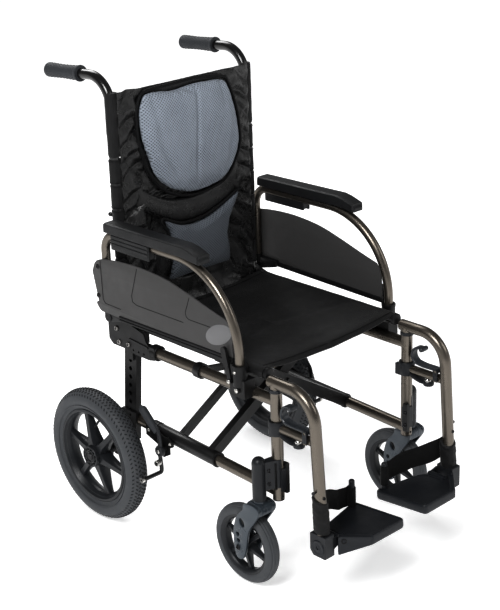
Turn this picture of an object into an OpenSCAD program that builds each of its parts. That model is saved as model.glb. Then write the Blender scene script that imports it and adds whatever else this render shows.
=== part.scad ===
// Folding attendant-propelled wheelchair. Millimetres, +Z up, the chair faces -Y.
// The origin is on the floor, on the symmetry plane, midway between grip ends and footplate fronts.
// Every side piece is written for the left side (+X) and mirrored for the right side.

/* [Overall] */
// Distance from the ends of the push grips to the fronts of the footplates
overall_l = 893; // [880:1:910]
// Half distance between the centre planes of the two side frames
frame_x = 202; // [196:1:206]
// Diameter of the side frame tubes
tube_d = 25; // [24:0.5:26]
// Wall thickness of the tubes
wall = 2; // [1.5:0.25:2.5]

/* [Side frame] */
// Front post, distance ahead of the origin
post_y = -248; // [-252:1:-244]
// Lower end of the front post
post_z0 = 205; // [205:1:212]
// Upper end of the front post
post_z1 = 445; // [442:1:446]
// Height of the upper rail
rail_z = 425; // [422:1:428]
// Height of the lower rail at the origin
low_z = 231; // [228:1:234]
// Rise of the lower rail and of the fold axes towards the rear, degrees
low_tilt = 2.3; // [0:0.1:3]

/* [Push handles] */
// Half distance between the push canes
cane_x = 196; // [195:0.5:197]
// Distance of the canes behind the origin
cane_y = 233; // [230:1:236]
// Diameter of the canes
cane_d = 22; // [20:0.5:22]
// Bend radius of the canes
cane_bend = 62; // [55:1:70]
// Fall of the grips towards the rear, degrees
grip_fall = 3; // [0:0.5:6]
// Height of the grip centre at its rear end
grip_z = 1006.6; // [1000:1:1015]
// Length of a grip
grip_l = 118; // [105:1:125]
// Diameter of a grip
grip_d = 32; // [30:0.5:34]

/* [Rear wheels] */
// Outer radius of the 12.5 inch rear tyres
rear_r = 157.5; // [155:0.5:158]
// Width of the rear tyres
rear_w = 54; // [48:1:56]
// Half distance between the rear wheel centres
rear_x = 273; // [272:1:276]
// Distance of the rear axle behind the origin
rear_y = 264.8; // [260:0.5:268]
// Radius of the rear axle bolts
axle_r = 6; // [5:0.5:6]

/* [Casters] */
// Outer radius of the caster wheels
caster_r = 90; // [88:0.5:91]
// Width of the caster tyres
caster_w = 32; // [28:1:32]
// Half distance between the caster stems
stem_x = 238; // [238:0.5:240]
// Position of the caster stems along the chair
stem_y = -228; // [-229:0.5:-227]
// Trail of the caster axle behind its stem
trail = 41.6; // [38:0.2:42]

/* [Cross brace] */
// Height of the seat rails
seat_z = 475.5; // [474:0.5:478]
// Half distance between the seat rails
seat_x = 196; // [195:0.5:197]
// Diameter of the seat rails
seat_rail_d = 22; // [20:0.5:22]

/* [Armrests] */
// Half distance between the armrest tubes
arm_x = 228; // [228:0.25:229]
// Diameter of the armrest tube
arm_d = 20; // [18:0.5:20]
// Height of the level part of the armrest tube
arm_z = 682; // [680:1:684]
// Position of the upright front leg of the armrest tube
arm_front_y = -172; // [-174:1:-170]
// Radius of the large front bend
arm_bend = 178; // [170:1:180]
// Armrest hinge, distance behind the origin
arm_pivot_y = 236; // [234:1:238]
// Armrest hinge height
arm_pivot_z = 490; // [488:1:492]
// Width of the armrest pads
pad_w = 39; // [36:0.5:39]

/* [Legrests] */
// Height of the level part of the hanger
hanger_z = 464.5; // [464:0.5:466]
// Bend radius of the hanger
hanger_bend = 66; // [60:1:70]
// Forward lean of the hanger leg, degrees
leg_lean = 3.8; // [3:0.1:4.5]
// Position of the inner edge of the footplates
plate_in = 33; // [33:1:38]
// Pitch of the footplates, toes up, degrees
plate_pitch = 5.4; // [4:0.2:6]

/* [Hidden] */
$fn = 64;

bronze = [0.45, 0.41, 0.36];
black = [0.07, 0.07, 0.08];
dark = [0.20, 0.21, 0.23];
panel_grey = [0.27, 0.27, 0.28];
tyre_grey = [0.25, 0.26, 0.28];
mesh_grey = [0.42, 0.46, 0.52];

tube_r = tube_d / 2;
cane_r = cane_d / 2;
arm_r = arm_d / 2;
seat_r = seat_rail_d / 2;
fit = 0.05; // radial clearance of every running pin
seam = 0.05; // groove between a bend and its straight end

// Rails
rail_end_y = 215;
low_end_y = 206;
sleeve_r = 16;
sleeve_y0 = -66;
sleeve_y1 = 130;

// Cross brace, measured in the plane of the tilted fold axes
brace_rise = seat_z - low_z;
brace_angle = atan2(brace_rise, frame_x + seat_x);
cross_rise = brace_rise * frame_x / (frame_x + seat_x);
brace_len = norm([frame_x + seat_x, brace_rise]);
brace_rear_y = 62;
brace_front_y = -40;
brace_step = 26;
pin_r = 5;
seat_front_y = -219;
seat_rear_y = 205;
saddle_y = [185, -128];
saddle_l = 26;

// Rear bracket
plate_x = 214.5;
plate_t = 2.8;
clamp_r = 17;
clamp_y0 = 112;
clamp_l = 18;
bar_x0 = 197;
bar_t = 15;
bar_w = 40;
bar_top = [201.5, 409];
bar_low = [223, 190];
bar_holes = 7;
hole_pitch = 21;
hole_r = 5.2;
axle_plate_x = 211;
axle_plate_t = 7;

// Casters
housing_r = 14.5;
housing_z0 = 209;
housing_z1 = 306;
stem_r = 8;
caster_axle_r = 4;
fork_in = caster_w / 2 + 3;
fork_t = 7;

// Armrest
pivot_r = 4;
arm_in = arm_pivot_y + 8 - arm_r;
panel_t = 4;
panel_turn = 1.93;
pad_x0 = 210.5;
pad_bottom = 692.3;
box_x0 = 221;
rear_bend = 40;

// Armrest socket and latch
socket_x1 = 236;
latch_y = arm_front_y + 18;
latch_z = 453;

// Brake
brake_x = 238;
bracket_x = 220.5;
bracket_t = 3;
lever_pivot = [84.7, 212];
shoe_pivot = [101, 201];
shoe_y = 97;
shoe_z = 152;
brake_pin_r = 4;

// Legrest
hanger_rear_y = -233.5;
bend_y = -290;
leg_top = [bend_y - hanger_bend * cos(leg_lean), hanger_z - hanger_bend + hanger_bend * sin(leg_lean)];
leg_z0 = 166;
strut_z = 367;
strut_r = 9.5;
lever_pivot_y = -338;
lever_pivot_z = 386;
plate_axis_x = 170;
plate_axis_z = 150;
plate_pin_r = 4;
plate_t_mm = 20;
plate_y0 = -304;
plate_front_y = plate_y0 - (overall_l / 2 + plate_y0) / cos(plate_pitch);
tether_r = 4;
tether_l = 12;
heel_x = 52;
heel_y = -314;

// Position of the leg's centre line at height z
function leg_y(z) = leg_top[0] - (leg_top[1] - z) * tan(leg_lean);
// Height of the lower rail's centre line at position y
function low_rail_z(y) = low_z + y * tan(low_tilt);

module rod_x(y, z, x0, x1, r) translate([x0, y, z]) rotate([0, 90, 0]) cylinder(r = r, h = x1 - x0);
module rod_y(x, z, y0, y1, r) translate([x, y0, z]) rotate([-90, 0, 0]) cylinder(r = r, h = y1 - y0);
module rod_z(x, y, z0, z1, r) translate([x, y, z0]) cylinder(r = r, h = z1 - z0);

// Tube bend in a YZ plane about (cy, cz), angles counted from +Y towards +Z
module bend_yz(x, cy, cz, bend, a0, a1, r)
    translate([x, cy, cz]) rotate([90, 0, 90]) rotate([0, 0, a0])
        rotate_extrude(angle = a1 - a0) translate([bend, 0]) circle(r = r);

// Straight rod in a YZ plane from p towards the angle a
module rod_yz(x, p, a, len, r)
    translate([x, p[0], p[1]]) rotate([a - 90, 0, 0]) cylinder(r = r, h = len);

// Straight tube that leaves a bend at p towards the angle a, with the sleeve inside that joins the two
module tube_end_yz(x, p, a, len, r) {
    dir = [cos(a), sin(a)];
    difference() {
        rod_yz(x, p + seam * dir, a, len, r);
        rod_yz(x, p, a, len + 1, r - wall);
    }
    difference() {
        rod_yz(x, p - 4 * dir, a, 8, r - wall + 0.5);
        rod_yz(x, p - 5 * dir, a, 10, r - wall - 1.5);
    }
}

// Plate in a YZ plane from x0 to x0 + t with an outline of [y, z] points
module plate_yz(x0, t, outline)
    translate([x0, 0, 0]) rotate([90, 0, 90]) linear_extrude(t) polygon(outline);

// Flat bar with round ends in a YZ plane
module link_yz(x0, t, p, q, r) {
    n = [p[1] - q[1], q[0] - p[0]] / norm(q - p) * r;
    translate([x0, 0, 0]) rotate([90, 0, 90]) linear_extrude(t) {
        translate(p) circle(r = r);
        translate(q) circle(r = r);
        polygon([p + n, q + n, q - n, p - n]);
    }
}

// The tilted frame of the lower rail and of the fold
module fold_frame() translate([0, 0, low_z]) rotate([low_tilt, 0, 0]) children();
module left() children();
module right() mirror([1, 0, 0]) children();

// ---------------------------------------------------------------- side frames

module side_frame_shape(cut) {
    rod_z(frame_x, post_y, post_z0 - (cut > 0 ? 1 : 0), post_z1 + (cut > 0 ? 1 : 0), tube_r - cut);
    rod_y(frame_x, rail_z, post_y, rail_end_y + (cut > 0 ? 1 : 0), tube_r - cut);
    fold_frame() rod_y(frame_x, 0, post_y, low_end_y + (cut > 0 ? 1 : 0), tube_r - cut);
}

module side_frame() color(bronze) difference() {
    side_frame_shape(0);
    side_frame_shape(wall);
}

module rear_bracket() color(black) {
    outline = [[268, 495], [268, 425], [255, 414], [219, 414], [176, 409], [130, 409], [112, 413],
        [112, 441], [131, 441], [140, 450], [146, 466], [180, 474], [215, 484], [240, 495]];
    difference() {
        union() {
            plate_yz(plate_x, plate_t, outline);
            plate_yz(bar_x0, plate_x - bar_x0,
                [[222, 436], [222, 414], [256, 414], [256, 470], [244.5, 470]]);
            rod_y(frame_x, rail_z, clamp_y0, clamp_y0 + clamp_l, clamp_r);
            translate([frame_x, clamp_y0 + clamp_l - 2, rail_z - clamp_r + 2])
                cube([plate_x - frame_x + 1, 40, 2 * clamp_r - 4]);
            // Foot that the upright bar is bolted to
            plate_yz(bar_x0 + bar_t - 1, plate_x + plate_t - bar_x0 - bar_t + 1,
                [[188, 416], [188, 392], [214, 392], [214, 416]]);
        }
        rod_y(frame_x, rail_z, 90, 222, tube_r);
        rod_z(cane_x, cane_y, 400, 520, cane_r);
        for (y = [148, 166, 184]) rod_x(y, 418, 200, 220, 2.6);
    }
    perforated_bar();
    axle_plate();
}

// Upright flat tube under the upper rail, with its row of holes
module perforated_bar() {
    lean = atan2(bar_low[0] - bar_top[0], bar_top[1] - bar_low[1]);
    len = norm(bar_top - bar_low);
    difference() {
        translate([bar_x0, bar_top[0], bar_top[1]]) rotate([180 + lean, 0, 0])
            translate([0, -bar_w / 2, 0]) difference() {
                cube([bar_t, bar_w, len]);
                translate([wall, wall, 14]) cube([bar_t - 2 * wall, bar_w - 2 * wall, len]);
                for (i = [0 : bar_holes - 1])
                    translate([-1, bar_w / 2, 22 + i * hole_pitch]) rotate([0, 90, 0])
                        cylinder(r = hole_r, h = bar_t + 2);
            }
        fold_frame() rod_y(frame_x, 0, 150, 230, tube_r);
    }
}

module axle_plate()
    difference() {
        union() {
            plate_yz(axle_plate_x, axle_plate_t,
                [[190, 262], [240, 262], [284, 188], [290, 158], [278, 132], [248, 132], [196, 196]]);
            rod_x(rear_y, rear_r, axle_plate_x - 6, rear_x - rear_w / 2 - 4, 12);
        }
        rod_x(rear_y, rear_r, 200, 260, axle_r);
        for (i = [-1, 1]) rod_x(222 + i * 12, 232 - i * 20, 210, 220, 3);
        fold_frame() rod_y(frame_x, 0, 150, 230, tube_r);
    }

module push_cane() color(black) {
    arc_z = grip_z + (overall_l / 2 - cane_y - cane_bend * (1 + sin(grip_fall))) * tan(grip_fall)
        - cane_bend * cos(grip_fall);
    end = [cane_y + cane_bend * (1 + sin(grip_fall)), arc_z + cane_bend * cos(grip_fall)];
    difference() {
        union() {
            rod_z(cane_x, cane_y, 430, arc_z, cane_r);
            bend_yz(cane_x, cane_y + cane_bend, arc_z, cane_bend, 180, 90 - grip_fall, cane_r);
            // Stop stud at the height of the armrests
            rod_y(cane_x, 712, cane_y + cane_r - 1, cane_y + cane_r + 12, 2.2);
        }
        rod_z(cane_x, cane_y, 429, arc_z, cane_r - wall);
        bend_yz(cane_x, cane_y + cane_bend, arc_z, cane_bend, 180, 90 - grip_fall, cane_r - wall);
    }
    rod_y(cane_x, 712, cane_y + cane_r + 11, cane_y + cane_r + 19, 4.2);
    tube_end_yz(cane_x, end, -grip_fall, (overall_l / 2 - 4 - end[0]) / cos(grip_fall), cane_r);
}

module push_grip() color(dark) {
    end_r = grip_d / 2 - 4;
    dir = [cos(grip_fall), -sin(grip_fall)];
    start_y = overall_l / 2 - end_r * sin(grip_fall) - grip_l * cos(grip_fall);
    start = [start_y, grip_z + (overall_l / 2 - start_y) * tan(grip_fall)];
    difference() {
        union() {
            rod_yz(cane_x, start, -grip_fall, grip_l - 4, grip_d / 2);
            rod_yz(cane_x, start, -grip_fall, grip_l, end_r);
            rod_yz(cane_x, start, -grip_fall, 7, grip_d / 2 + 2);
        }
        rod_yz(cane_x, start - dir, -grip_fall, grip_l - 1, cane_r);
    }
}

// Domed stem housing with the saddle block that bolts it to the front post
module caster_housing() color(dark) difference() {
    union() {
        rod_z(stem_x, stem_y, housing_z0, housing_z1 - housing_r, housing_r);
        translate([stem_x, stem_y, housing_z1 - housing_r]) sphere(r = housing_r);
        hull() {
            rod_z(frame_x + 3, post_y, 234.8, 298, tube_r);
            rod_z(stem_x, stem_y, 230, 292, 7);
        }
        translate([frame_x - 16, post_y - 15, 218]) cube([8, 12, 66]);
        translate([frame_x - 16, post_y - 15, 226]) cube([20, 15, 50]);
    }
    rod_z(frame_x, post_y, 190, 320, tube_r);
    rod_z(stem_x, stem_y, 200, 262, stem_r + fit);
}

// Cradles on the upper rail that the seat rails drop into
module seat_saddles() color(black)
    for (y = saddle_y) difference() {
        translate([seat_x - 17, y - saddle_l / 2, rail_z + 2]) cube([34, saddle_l, seat_z - rail_z - 2]);
        rod_y(frame_x, rail_z, y - 20, y + 20, tube_r);
        rod_y(seat_x, seat_z, y - 20, y + 20, seat_r + 0.4);
        translate([seat_x - seat_r - 4.4, y - 20, seat_z]) cube([2 * seat_r + 4.8, 40, 20]);
    }

module armrest_socket() color(black) difference() {
    union() {
        translate([frame_x + 3, arm_front_y - 20, rail_z - 4]) cube([socket_x1 - frame_x - 3, 43, 40]);
        rod_z(arm_x, arm_front_y, rail_z + 20, 488, arm_r + 5);
        rod_x(arm_front_y, rail_z + 12, arm_x, socket_x1 + 4, 7);
    }
    rod_y(frame_x, rail_z, arm_front_y - 30, arm_front_y + 30, tube_r);
    rod_z(arm_x, arm_front_y, 469, 500, arm_r + 0.6);
}

module armrest_latch() color(black) difference() {
    union() {
        link_yz(socket_x1 + 1, 5, [latch_y, latch_z], [latch_y + 7, 488], 5.5);
        link_yz(socket_x1 + 1, 7, [latch_y + 7, 488], [latch_y + 14, 518], 7);
    }
    rod_x(latch_y, latch_z, arm_x, arm_x + 20, 3 + fit);
}

module brake_bracket() color(black) difference() {
    union() {
        fold_frame() rod_y(frame_x, 0, 132, 148, tube_r + 4);
        translate([frame_x + 8, 132, 228]) cube([bracket_x - frame_x - 7, 16, 18]);
        plate_yz(bracket_x, bracket_t, [[76, 236], [72, 222], [72, 200], [92, 188], [112, 190], [112, 214],
            [150, 226], [150, 250], [132, 250]]);
        rod_x(lever_pivot[0], lever_pivot[1], bracket_x, brake_x + 8, brake_pin_r);
        rod_x(shoe_pivot[0], shoe_pivot[1], bracket_x, brake_x - 3, brake_pin_r - 1);
    }
    fold_frame() rod_y(frame_x, 0, 60, 200, tube_r);
}

module brake_lever() color(dark) difference() {
    union() {
        rod_x(lever_pivot[0], lever_pivot[1], brake_x - 2, brake_x + 5, 12);
        link_yz(brake_x - 1, 5, lever_pivot, [88, 254], 6.5);
        rod_yz(brake_x + 1.5, [86, 250], 43, 72, 8.5);
        rod_yz(brake_x + 1.5, [86, 250], 43, 76, 6);
    }
    rod_x(lever_pivot[0], lever_pivot[1], brake_x - 10, brake_x + 20, brake_pin_r + fit);
}

module brake_shoe() color(black) difference() {
    union() {
        link_yz(brake_x - 12, 5, shoe_pivot, [shoe_y, shoe_z], 6);
        rod_x(shoe_y, shoe_z, brake_x - 12, rear_x + 14, 4.5);
    }
    rod_x(shoe_pivot[0], shoe_pivot[1], brake_x - 20, brake_x, brake_pin_r - 1 + fit);
}

// Shafts and bolt heads that stay with the side frame
module frame_bolts() color([0.5, 0.5, 0.5]) {
    // Rear axle bolt with its head
    rod_x(rear_y, rear_r, axle_plate_x - 6, rear_x + rear_w / 2 - 6, axle_r);
    rod_x(rear_y, rear_r, axle_plate_x - 13, axle_plate_x - 6, 9);
    // Armrest hinge pin
    rod_x(arm_pivot_y, arm_pivot_z, plate_x + plate_t, arm_x + 14, pivot_r);
    // Rear bracket bolt heads
    for (p = [[239, 456], [232, 425], [200, 427]])
        rod_x(p[0], p[1], plate_x + plate_t, plate_x + plate_t + 3, 5);
    // Latch pin
    rod_x(latch_y, latch_z, socket_x1, socket_x1 + 8, 3);
}

// ---------------------------------------------------------------- armrest

module armrest_tube_shape(cut) {
    r = arm_r - cut;
    over = cut > 0 ? 1 : 0;
    rod_z(arm_x, arm_front_y, 471 - over, arm_z - arm_bend, r);
    bend_yz(arm_x, arm_front_y + arm_bend, arm_z - arm_bend, arm_bend, 90, 180, r);
    rod_y(arm_x, arm_z, arm_front_y + arm_bend, arm_in + arm_r - rear_bend, r);
    bend_yz(arm_x, arm_in + arm_r - rear_bend, arm_z - rear_bend, rear_bend, 0, 90, r);
    rod_z(arm_x, arm_in + arm_r, 508, arm_z - rear_bend, r);
}

module armrest_tube() color(bronze) difference() {
    armrest_tube_shape(0);
    armrest_tube_shape(wall);
}

// Moulded pad with its ribbed box below
module armrest_pad() color(dark) {
    side = [[222, pad_bottom], [224, 706], [220, 713], [-34, 716], [-78, 705], [-82, 690], [-76, 686],
        [-40, pad_bottom]];
    plan = [[pad_x0, 230], [pad_x0, -62], [pad_x0 + 8, -90], [pad_x0 + pad_w - 3, -90],
        [pad_x0 + pad_w, -80], [pad_x0 + pad_w, 230]];
    intersection() {
        plate_yz(200, 60, side);
        translate([0, 0, 600]) linear_extrude(200) polygon(plan);
    }
    difference() {
        translate([box_x0, 80, 655]) cube([243 - box_x0, 126, pad_bottom - 655]);
        rod_y(arm_x, arm_z, 60, 230, arm_r);
        for (z = [664, 673]) translate([242, 70, z]) cube([4, 146, 2]);
    }
}

// Skirt sheet in its slightly turned plane, with the grooved rail and the hinge lug below it
module side_panel() color(panel_grey) difference() {
    union() {
        skirt_plane() {
            plate_yz(-panel_t / 2, panel_t, [[278, 586], [279, 524], [262, 500], [200, 498], [30, 498],
                [-152, 496], [-156, 538], [-147, 566], [-138, 577], [-90, 590], [-17, 611], [42, 625],
                [106, 632], [159, 631], [221, 626], [262, 618], [274, 606]]);
            plate_yz(-5, 10, [[195, 504], [195, 492], [-154, 489.5], [-154, 501]]);
        }
        plate_yz(arm_x - 3, 16, [[250, 508], [246, 486], [226, 482], [180, 492], [180, 508]]);
        rod_x(arm_pivot_y, arm_pivot_z, arm_x - 4, arm_x + 13, 11);
        rod_z(arm_x, arm_in + arm_r, 498, 508, arm_r);
    }
    rod_x(arm_pivot_y, arm_pivot_z, arm_x - 20, arm_x + 30, pivot_r + fit);
    skirt_plane() plate_yz(3, 5, [[176, 499], [176, 497], [-160, 494.5], [-160, 496.5]]);
}

module skirt_plane()
    translate([arm_x - 1, -155, 0]) rotate([0, 0, -panel_turn]) translate([0, 155, 0]) children();

// ---------------------------------------------------------------- wheels

module rear_tyre() color(tyre_grey) translate([rear_x, rear_y, rear_r]) rotate([0, 90, 0])
    rotate_extrude($fn = 96) difference() {
        translate([rear_r - rear_w / 2 + 1, 0]) union() {
            circle(r = rear_w / 2 - 1);
            translate([0, -rear_w / 2 + 5]) square([rear_w / 2 - 1, rear_w - 10]);
        }
        translate([0, -rear_w]) square([106, 2 * rear_w]);
    }

module rear_wheel() color(dark) translate([rear_x, rear_y, rear_r]) rotate([0, 90, 0]) difference() {
    union() {
        rotate_extrude($fn = 96) difference() {
            translate([94, -19]) square([12, 38]);
            translate([90, -11]) square([9, 22]);
        }
        cylinder(r = 25, h = rear_w - 2, center = true);
        for (i = [0 : 5]) rotate([0, 0, i * 60]) translate([18, -9, -9]) cube([84, 18, 18]);
    }
    cylinder(r = 10, h = rear_w, center = true);
    for (s = [-1, 1]) translate([0, 0, s * (rear_w / 2 - 5)]) cylinder(r = 14, h = 8.4, center = true);
}

// Two ball bearings pressed into the hub
module rear_bearings() color("silver") translate([rear_x, rear_y, rear_r]) rotate([0, 90, 0])
    for (s = [-1, 1]) translate([0, 0, s * (rear_w / 2 - 5)]) difference() {
        cylinder(r = 14, h = 8, center = true);
        cylinder(r = axle_r + fit, h = 9, center = true);
    }

module caster_fork() color(dark) {
    axle = [stem_y + trail, caster_r];
    // Stem and crown
    rod_z(stem_x, stem_y, 196, 260, stem_r);
    rod_z(stem_x, stem_y, 196, 208.5, 13);
    difference() {
        union() {
            rod_z(stem_x, stem_y, 186, 202, 26);
            for (s = [-1, 1]) plate_yz(stem_x + s * (fork_in + fork_t / 2) - fork_t / 2, fork_t,
                [[stem_y - 20, 198], [stem_y - 22, 188], [stem_y - 4, 160], [axle[0] - 26, 122],
                    [axle[0] - 20, 74], [axle[0] - 6, 62], [axle[0] + 8, 66], [axle[0] + 16, 100],
                    [axle[0] + 12, 150], [axle[0] - 2, 180], [stem_y + 20, 198]]);
        }
        for (s = [-1, 1]) rod_x(stem_y + 30, 152, stem_x - 40, stem_x + 40, 7);
        for (z = [104, 117]) rod_x(axle[0], z, stem_x - 40, stem_x + 40, caster_axle_r);
    }
    rod_x(axle[0], caster_r, stem_x - fork_in - fork_t - 1.5, stem_x + fork_in + fork_t + 1.5, caster_axle_r);
}

module caster_tyre() color(tyre_grey) translate([stem_x, stem_y + trail, caster_r]) rotate([0, 90, 0])
    rotate_extrude($fn = 96) difference() {
        translate([caster_r - caster_w / 2, 0]) circle(r = caster_w / 2);
        translate([0, -caster_w]) square([66, 2 * caster_w]);
        for (s = [-1, 1]) translate([caster_r - 1, s * 5]) circle(r = 1.6, $fn = 16);
    }

module caster_wheel() color(dark) translate([stem_x, stem_y + trail, caster_r]) rotate([0, 90, 0])
    difference() {
        union() {
            rotate_extrude($fn = 96) translate([57, -12]) square([9, 24]);
            cylinder(r = 16, h = caster_w + 4, center = true);
            for (i = [0 : 5]) rotate([0, 0, i * 60]) translate([12, -5, -7]) cube([47, 10, 14]);
        }
        cylinder(r = caster_axle_r + fit, h = caster_w + 10, center = true);
    }

// ---------------------------------------------------------------- legrest

module hanger_shape(cut) {
    r = tube_r - cut;
    rod_y(frame_x, hanger_z, bend_y, hanger_rear_y - (cut > 0 ? 3 : 0), r);
    bend_yz(frame_x, bend_y, hanger_z - hanger_bend, hanger_bend, 90, 180 - leg_lean, r);
}

module legrest_hanger() color(bronze) {
    leg_l = (leg_top[1] - leg_z0) / cos(leg_lean);
    difference() {
        union() {
            hanger_shape(0);
            // Pivot pin that drops into the post, and its collar
            rod_z(frame_x, post_y, 418, hanger_z, tube_r - wall - fit);
            rod_z(frame_x, post_y, post_z1 + 0.3, hanger_z, tube_r + 0.5);
        }
        hanger_shape(wall);
    }
    tube_end_yz(frame_x, leg_top, 270 - leg_lean, leg_l, tube_r);
    difference() {
        union() {
            rod_y(frame_x, strut_z, leg_y(strut_z), post_y - 14, strut_r);
            rod_z(frame_x, post_y, strut_z - 13, strut_z + 13, 17.5);
            // Ears and pin of the release lever
            translate([frame_x - 13, lever_pivot_y - 5, strut_z - 5]) cube([26, 10, 10]);
            for (s = [-13, 10])
                link_yz(frame_x + s, 3, [lever_pivot_y, lever_pivot_z], [lever_pivot_y, strut_z], 5);
            rod_x(lever_pivot_y, lever_pivot_z, frame_x - 13, frame_x + 13, 2.5);
        }
        rod_yz(frame_x, leg_top, 270 - leg_lean, leg_l, tube_r - wall);
        rod_z(frame_x, post_y, strut_z - 20, strut_z + 20, tube_r + fit);
    }
}

module footrest_block() color(dark) difference() {
    union() {
        plate_yz(190, 24, [[-391, 162], [-391, 120], [-357, 120], [-349, 130], [-349, 162]]);
        rod_yz(frame_x, [leg_y(158), 158], 90 - leg_lean, 36, tube_r - wall - fit);
        rod_x(-370, 141, 212, 217, 17);
        for (y = [-391, -349]) hull() {
            rod_y(plate_axis_x, plate_axis_z, y, y + 5, 7);
            translate([190, y, 134]) cube([4, 5, 26]);
        }
        rod_y(plate_axis_x, plate_axis_z, -394, -340, plate_pin_r);
    }
    rod_x(-370, 141, 213, 230, 4);
}

// Strap wrapped round the leg, and the band across to the heel post
module heel_strap() color(black) {
    difference() {
        translate([186, -390, 172]) cube([34, 44, 72]);
        rod_yz(frame_x, leg_top, 270 - leg_lean, 260, tube_r);
    }
    translate([0, 0, 166]) linear_extrude(44) polygon([[186, -350], [186, -347.5], [140, -322], [90, -309],
        [heel_x + 8, heel_y + 4], [heel_x + 8, heel_y + 1.5], [90, -311.5], [140, -324.5]]);
}

// Curled release lever over the strut
module legrest_lever() color(dark) difference() {
    union() {
        rod_x(lever_pivot_y, lever_pivot_z, frame_x - 9, frame_x + 9, 5);
        translate([frame_x - 9, 0, 0]) rotate([90, 0, 90]) linear_extrude(18)
            polygon([[lever_pivot_y, 389], [-300, 389], [-286, 390], [-286, 386], [-300, 385],
                [lever_pivot_y, 384]]);
        translate([frame_x - 9, -287, 407]) rotate([90, 0, 90]) rotate([0, 0, -90])
            rotate_extrude(angle = 200) translate([17, 0]) square([4, 18]);
        rod_x(-296.5, 423.5, frame_x - 11, frame_x + 11, 4.5);
    }
    rod_x(lever_pivot_y, lever_pivot_z, frame_x - 20, frame_x + 20, 2.5 + fit);
}

// Footplate about its hinge along Y, with the deep wedge ahead of the hinge block, and the heel post
module footplate() color(dark) {
    plan = [[plate_in, plate_y0], [plate_in, plate_front_y], [135, plate_front_y + 4], [184, -397],
        [161, -395], [161, -338], [150, -330]];
    z0 = 149 - plate_t_mm;
    corner_turn = 180 + atan2(-397 - plate_front_y - 4, 184 - 135);
    difference() {
        union() {
            translate([0, plate_y0, z0]) rotate([-plate_pitch, 0, 0]) translate([0, -plate_y0, 0])
                linear_extrude(plate_t_mm) polygon(plan);
            rod_z(heel_x, heel_y, 140, 212, 6.5);
            rod_y(plate_axis_x, plate_axis_z, -385, -350, 8);
            translate([155, -385, 134]) cube([15, 35, 20]);
            // Wedge below the slanted edge; the tether hole runs square to it
            difference() {
                translate([184, -397, 0]) rotate([0, 0, corner_turn]) rotate([90, 0, 0])
                    linear_extrude(tether_l) polygon([[0, 121], [0, 162], [66, 160], [66, 143]]);
                translate([140, -391.5, 100]) cube([60, 60, 80]);
            }
        }
        rod_y(plate_axis_x, plate_axis_z, -400, -330, plate_pin_r + fit);
        translate([184, -397, 153]) rotate([0, 0, corner_turn]) translate([12, 1, 0]) rotate([90, 0, 0])
            cylinder(r = tether_r, h = tether_l + 1);
    }
}

// ---------------------------------------------------------------- fold

// Ring round the upper rail with its arm towards the cross brace
module fold_link() color(black) {
    reach = 112;
    dip = 10.4;
    link_y = -21;
    difference() {
        union() {
            rod_y(frame_x, rail_z, link_y - 9, link_y + 9, 17);
            translate([frame_x, link_y - 3, rail_z]) rotate([0, -dip, 0]) translate([-reach, 0, -8])
                cube([reach - 10, 6, 16]);
            translate([frame_x, link_y - 3, rail_z]) rotate([0, -dip, 0]) rod_y(-reach, 0, 0, 6, 8);
        }
        rod_y(frame_x, rail_z, link_y - 12, link_y + 12, tube_r + fit);
        translate([frame_x, link_y, rail_z]) rotate([0, -dip, 0]) rod_y(-reach, 0, -6, 6, 4);
    }
}

// One brace: lower sleeve at -frame_x, two bars through the centre pins, seat rail at +seat_x
module brace(rear_y, front_y, pins) {
    fold_frame() difference() {
        union() {
            rod_y(-frame_x, 0, sleeve_y0, sleeve_y1, sleeve_r);
            translate([-frame_x, 0, 0]) rotate([0, -brace_angle, 0]) {
                translate([0, rear_y - 6, -9]) cube([brace_len, 12, 18]);
                translate([0, front_y - 8, -13]) cube([brace_len, 16, 26]);
            }
        }
        rod_y(-frame_x, 0, sleeve_y0 - 20, sleeve_y1 + 1, tube_r + fit);
        if (!pins) for (y = [rear_y, front_y]) rod_y(0, cross_rise, y - 20, y + 20, pin_r + fit);
        translate([seat_x, 0, brace_rise]) rotate([-low_tilt, 0, 0])
            rod_y(0, 0, seat_front_y, seat_rear_y, seat_r - wall);
    }
    difference() {
        rod_y(seat_x, seat_z, seat_front_y, seat_rear_y, seat_r);
        rod_y(seat_x, seat_z, seat_front_y + 4, seat_rear_y + 1, seat_r - wall);
    }
    if (pins) fold_frame() for (y = [rear_y, front_y]) {
        rod_y(0, cross_rise, y - brace_step - 12, y, pin_r);
        rod_y(0, cross_rise, y - 17.5, y, pin_r + 5);
    }
}

module cross_brace_a() color(black) brace(brace_rear_y, brace_front_y, true);
module cross_brace_b() color(black) mirror([1, 0, 0])
    brace(brace_rear_y - brace_step, brace_front_y - brace_step, false);

// ---------------------------------------------------------------- upholstery

module seat_sling() color(black)
    translate([-seat_x, seat_front_y + 6, seat_z + seat_r + 0.3]) cube([2 * seat_x, 415, 4]);

module back_sling() color(black)
    translate([-cane_x + cane_r + 0.5, cane_y - 4, 500]) cube([2 * (cane_x - cane_r - 0.5), 6, 486]);

// Upper mesh pad, a shield outline with round corners
module back_pad() color(mesh_grey) translate([0, cane_y - 4.3, 0]) rotate([90, 0, 0])
    linear_extrude(20) offset(r = 40, $fn = 32) polygon([[-112, 938], [112, 938], [122, 850], [98, 790],
        [40, 766], [-40, 766], [-98, 790], [-122, 850]]);

module lumbar_pad() color(mesh_grey) translate([0, cane_y - 4.3, 0]) rotate([90, 0, 0])
    linear_extrude(16) polygon([[-140, 694], [-70, 668], [0, 658], [70, 668], [140, 694], [112, 620],
        [110, 552], [-110, 552], [-112, 620]]);

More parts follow.
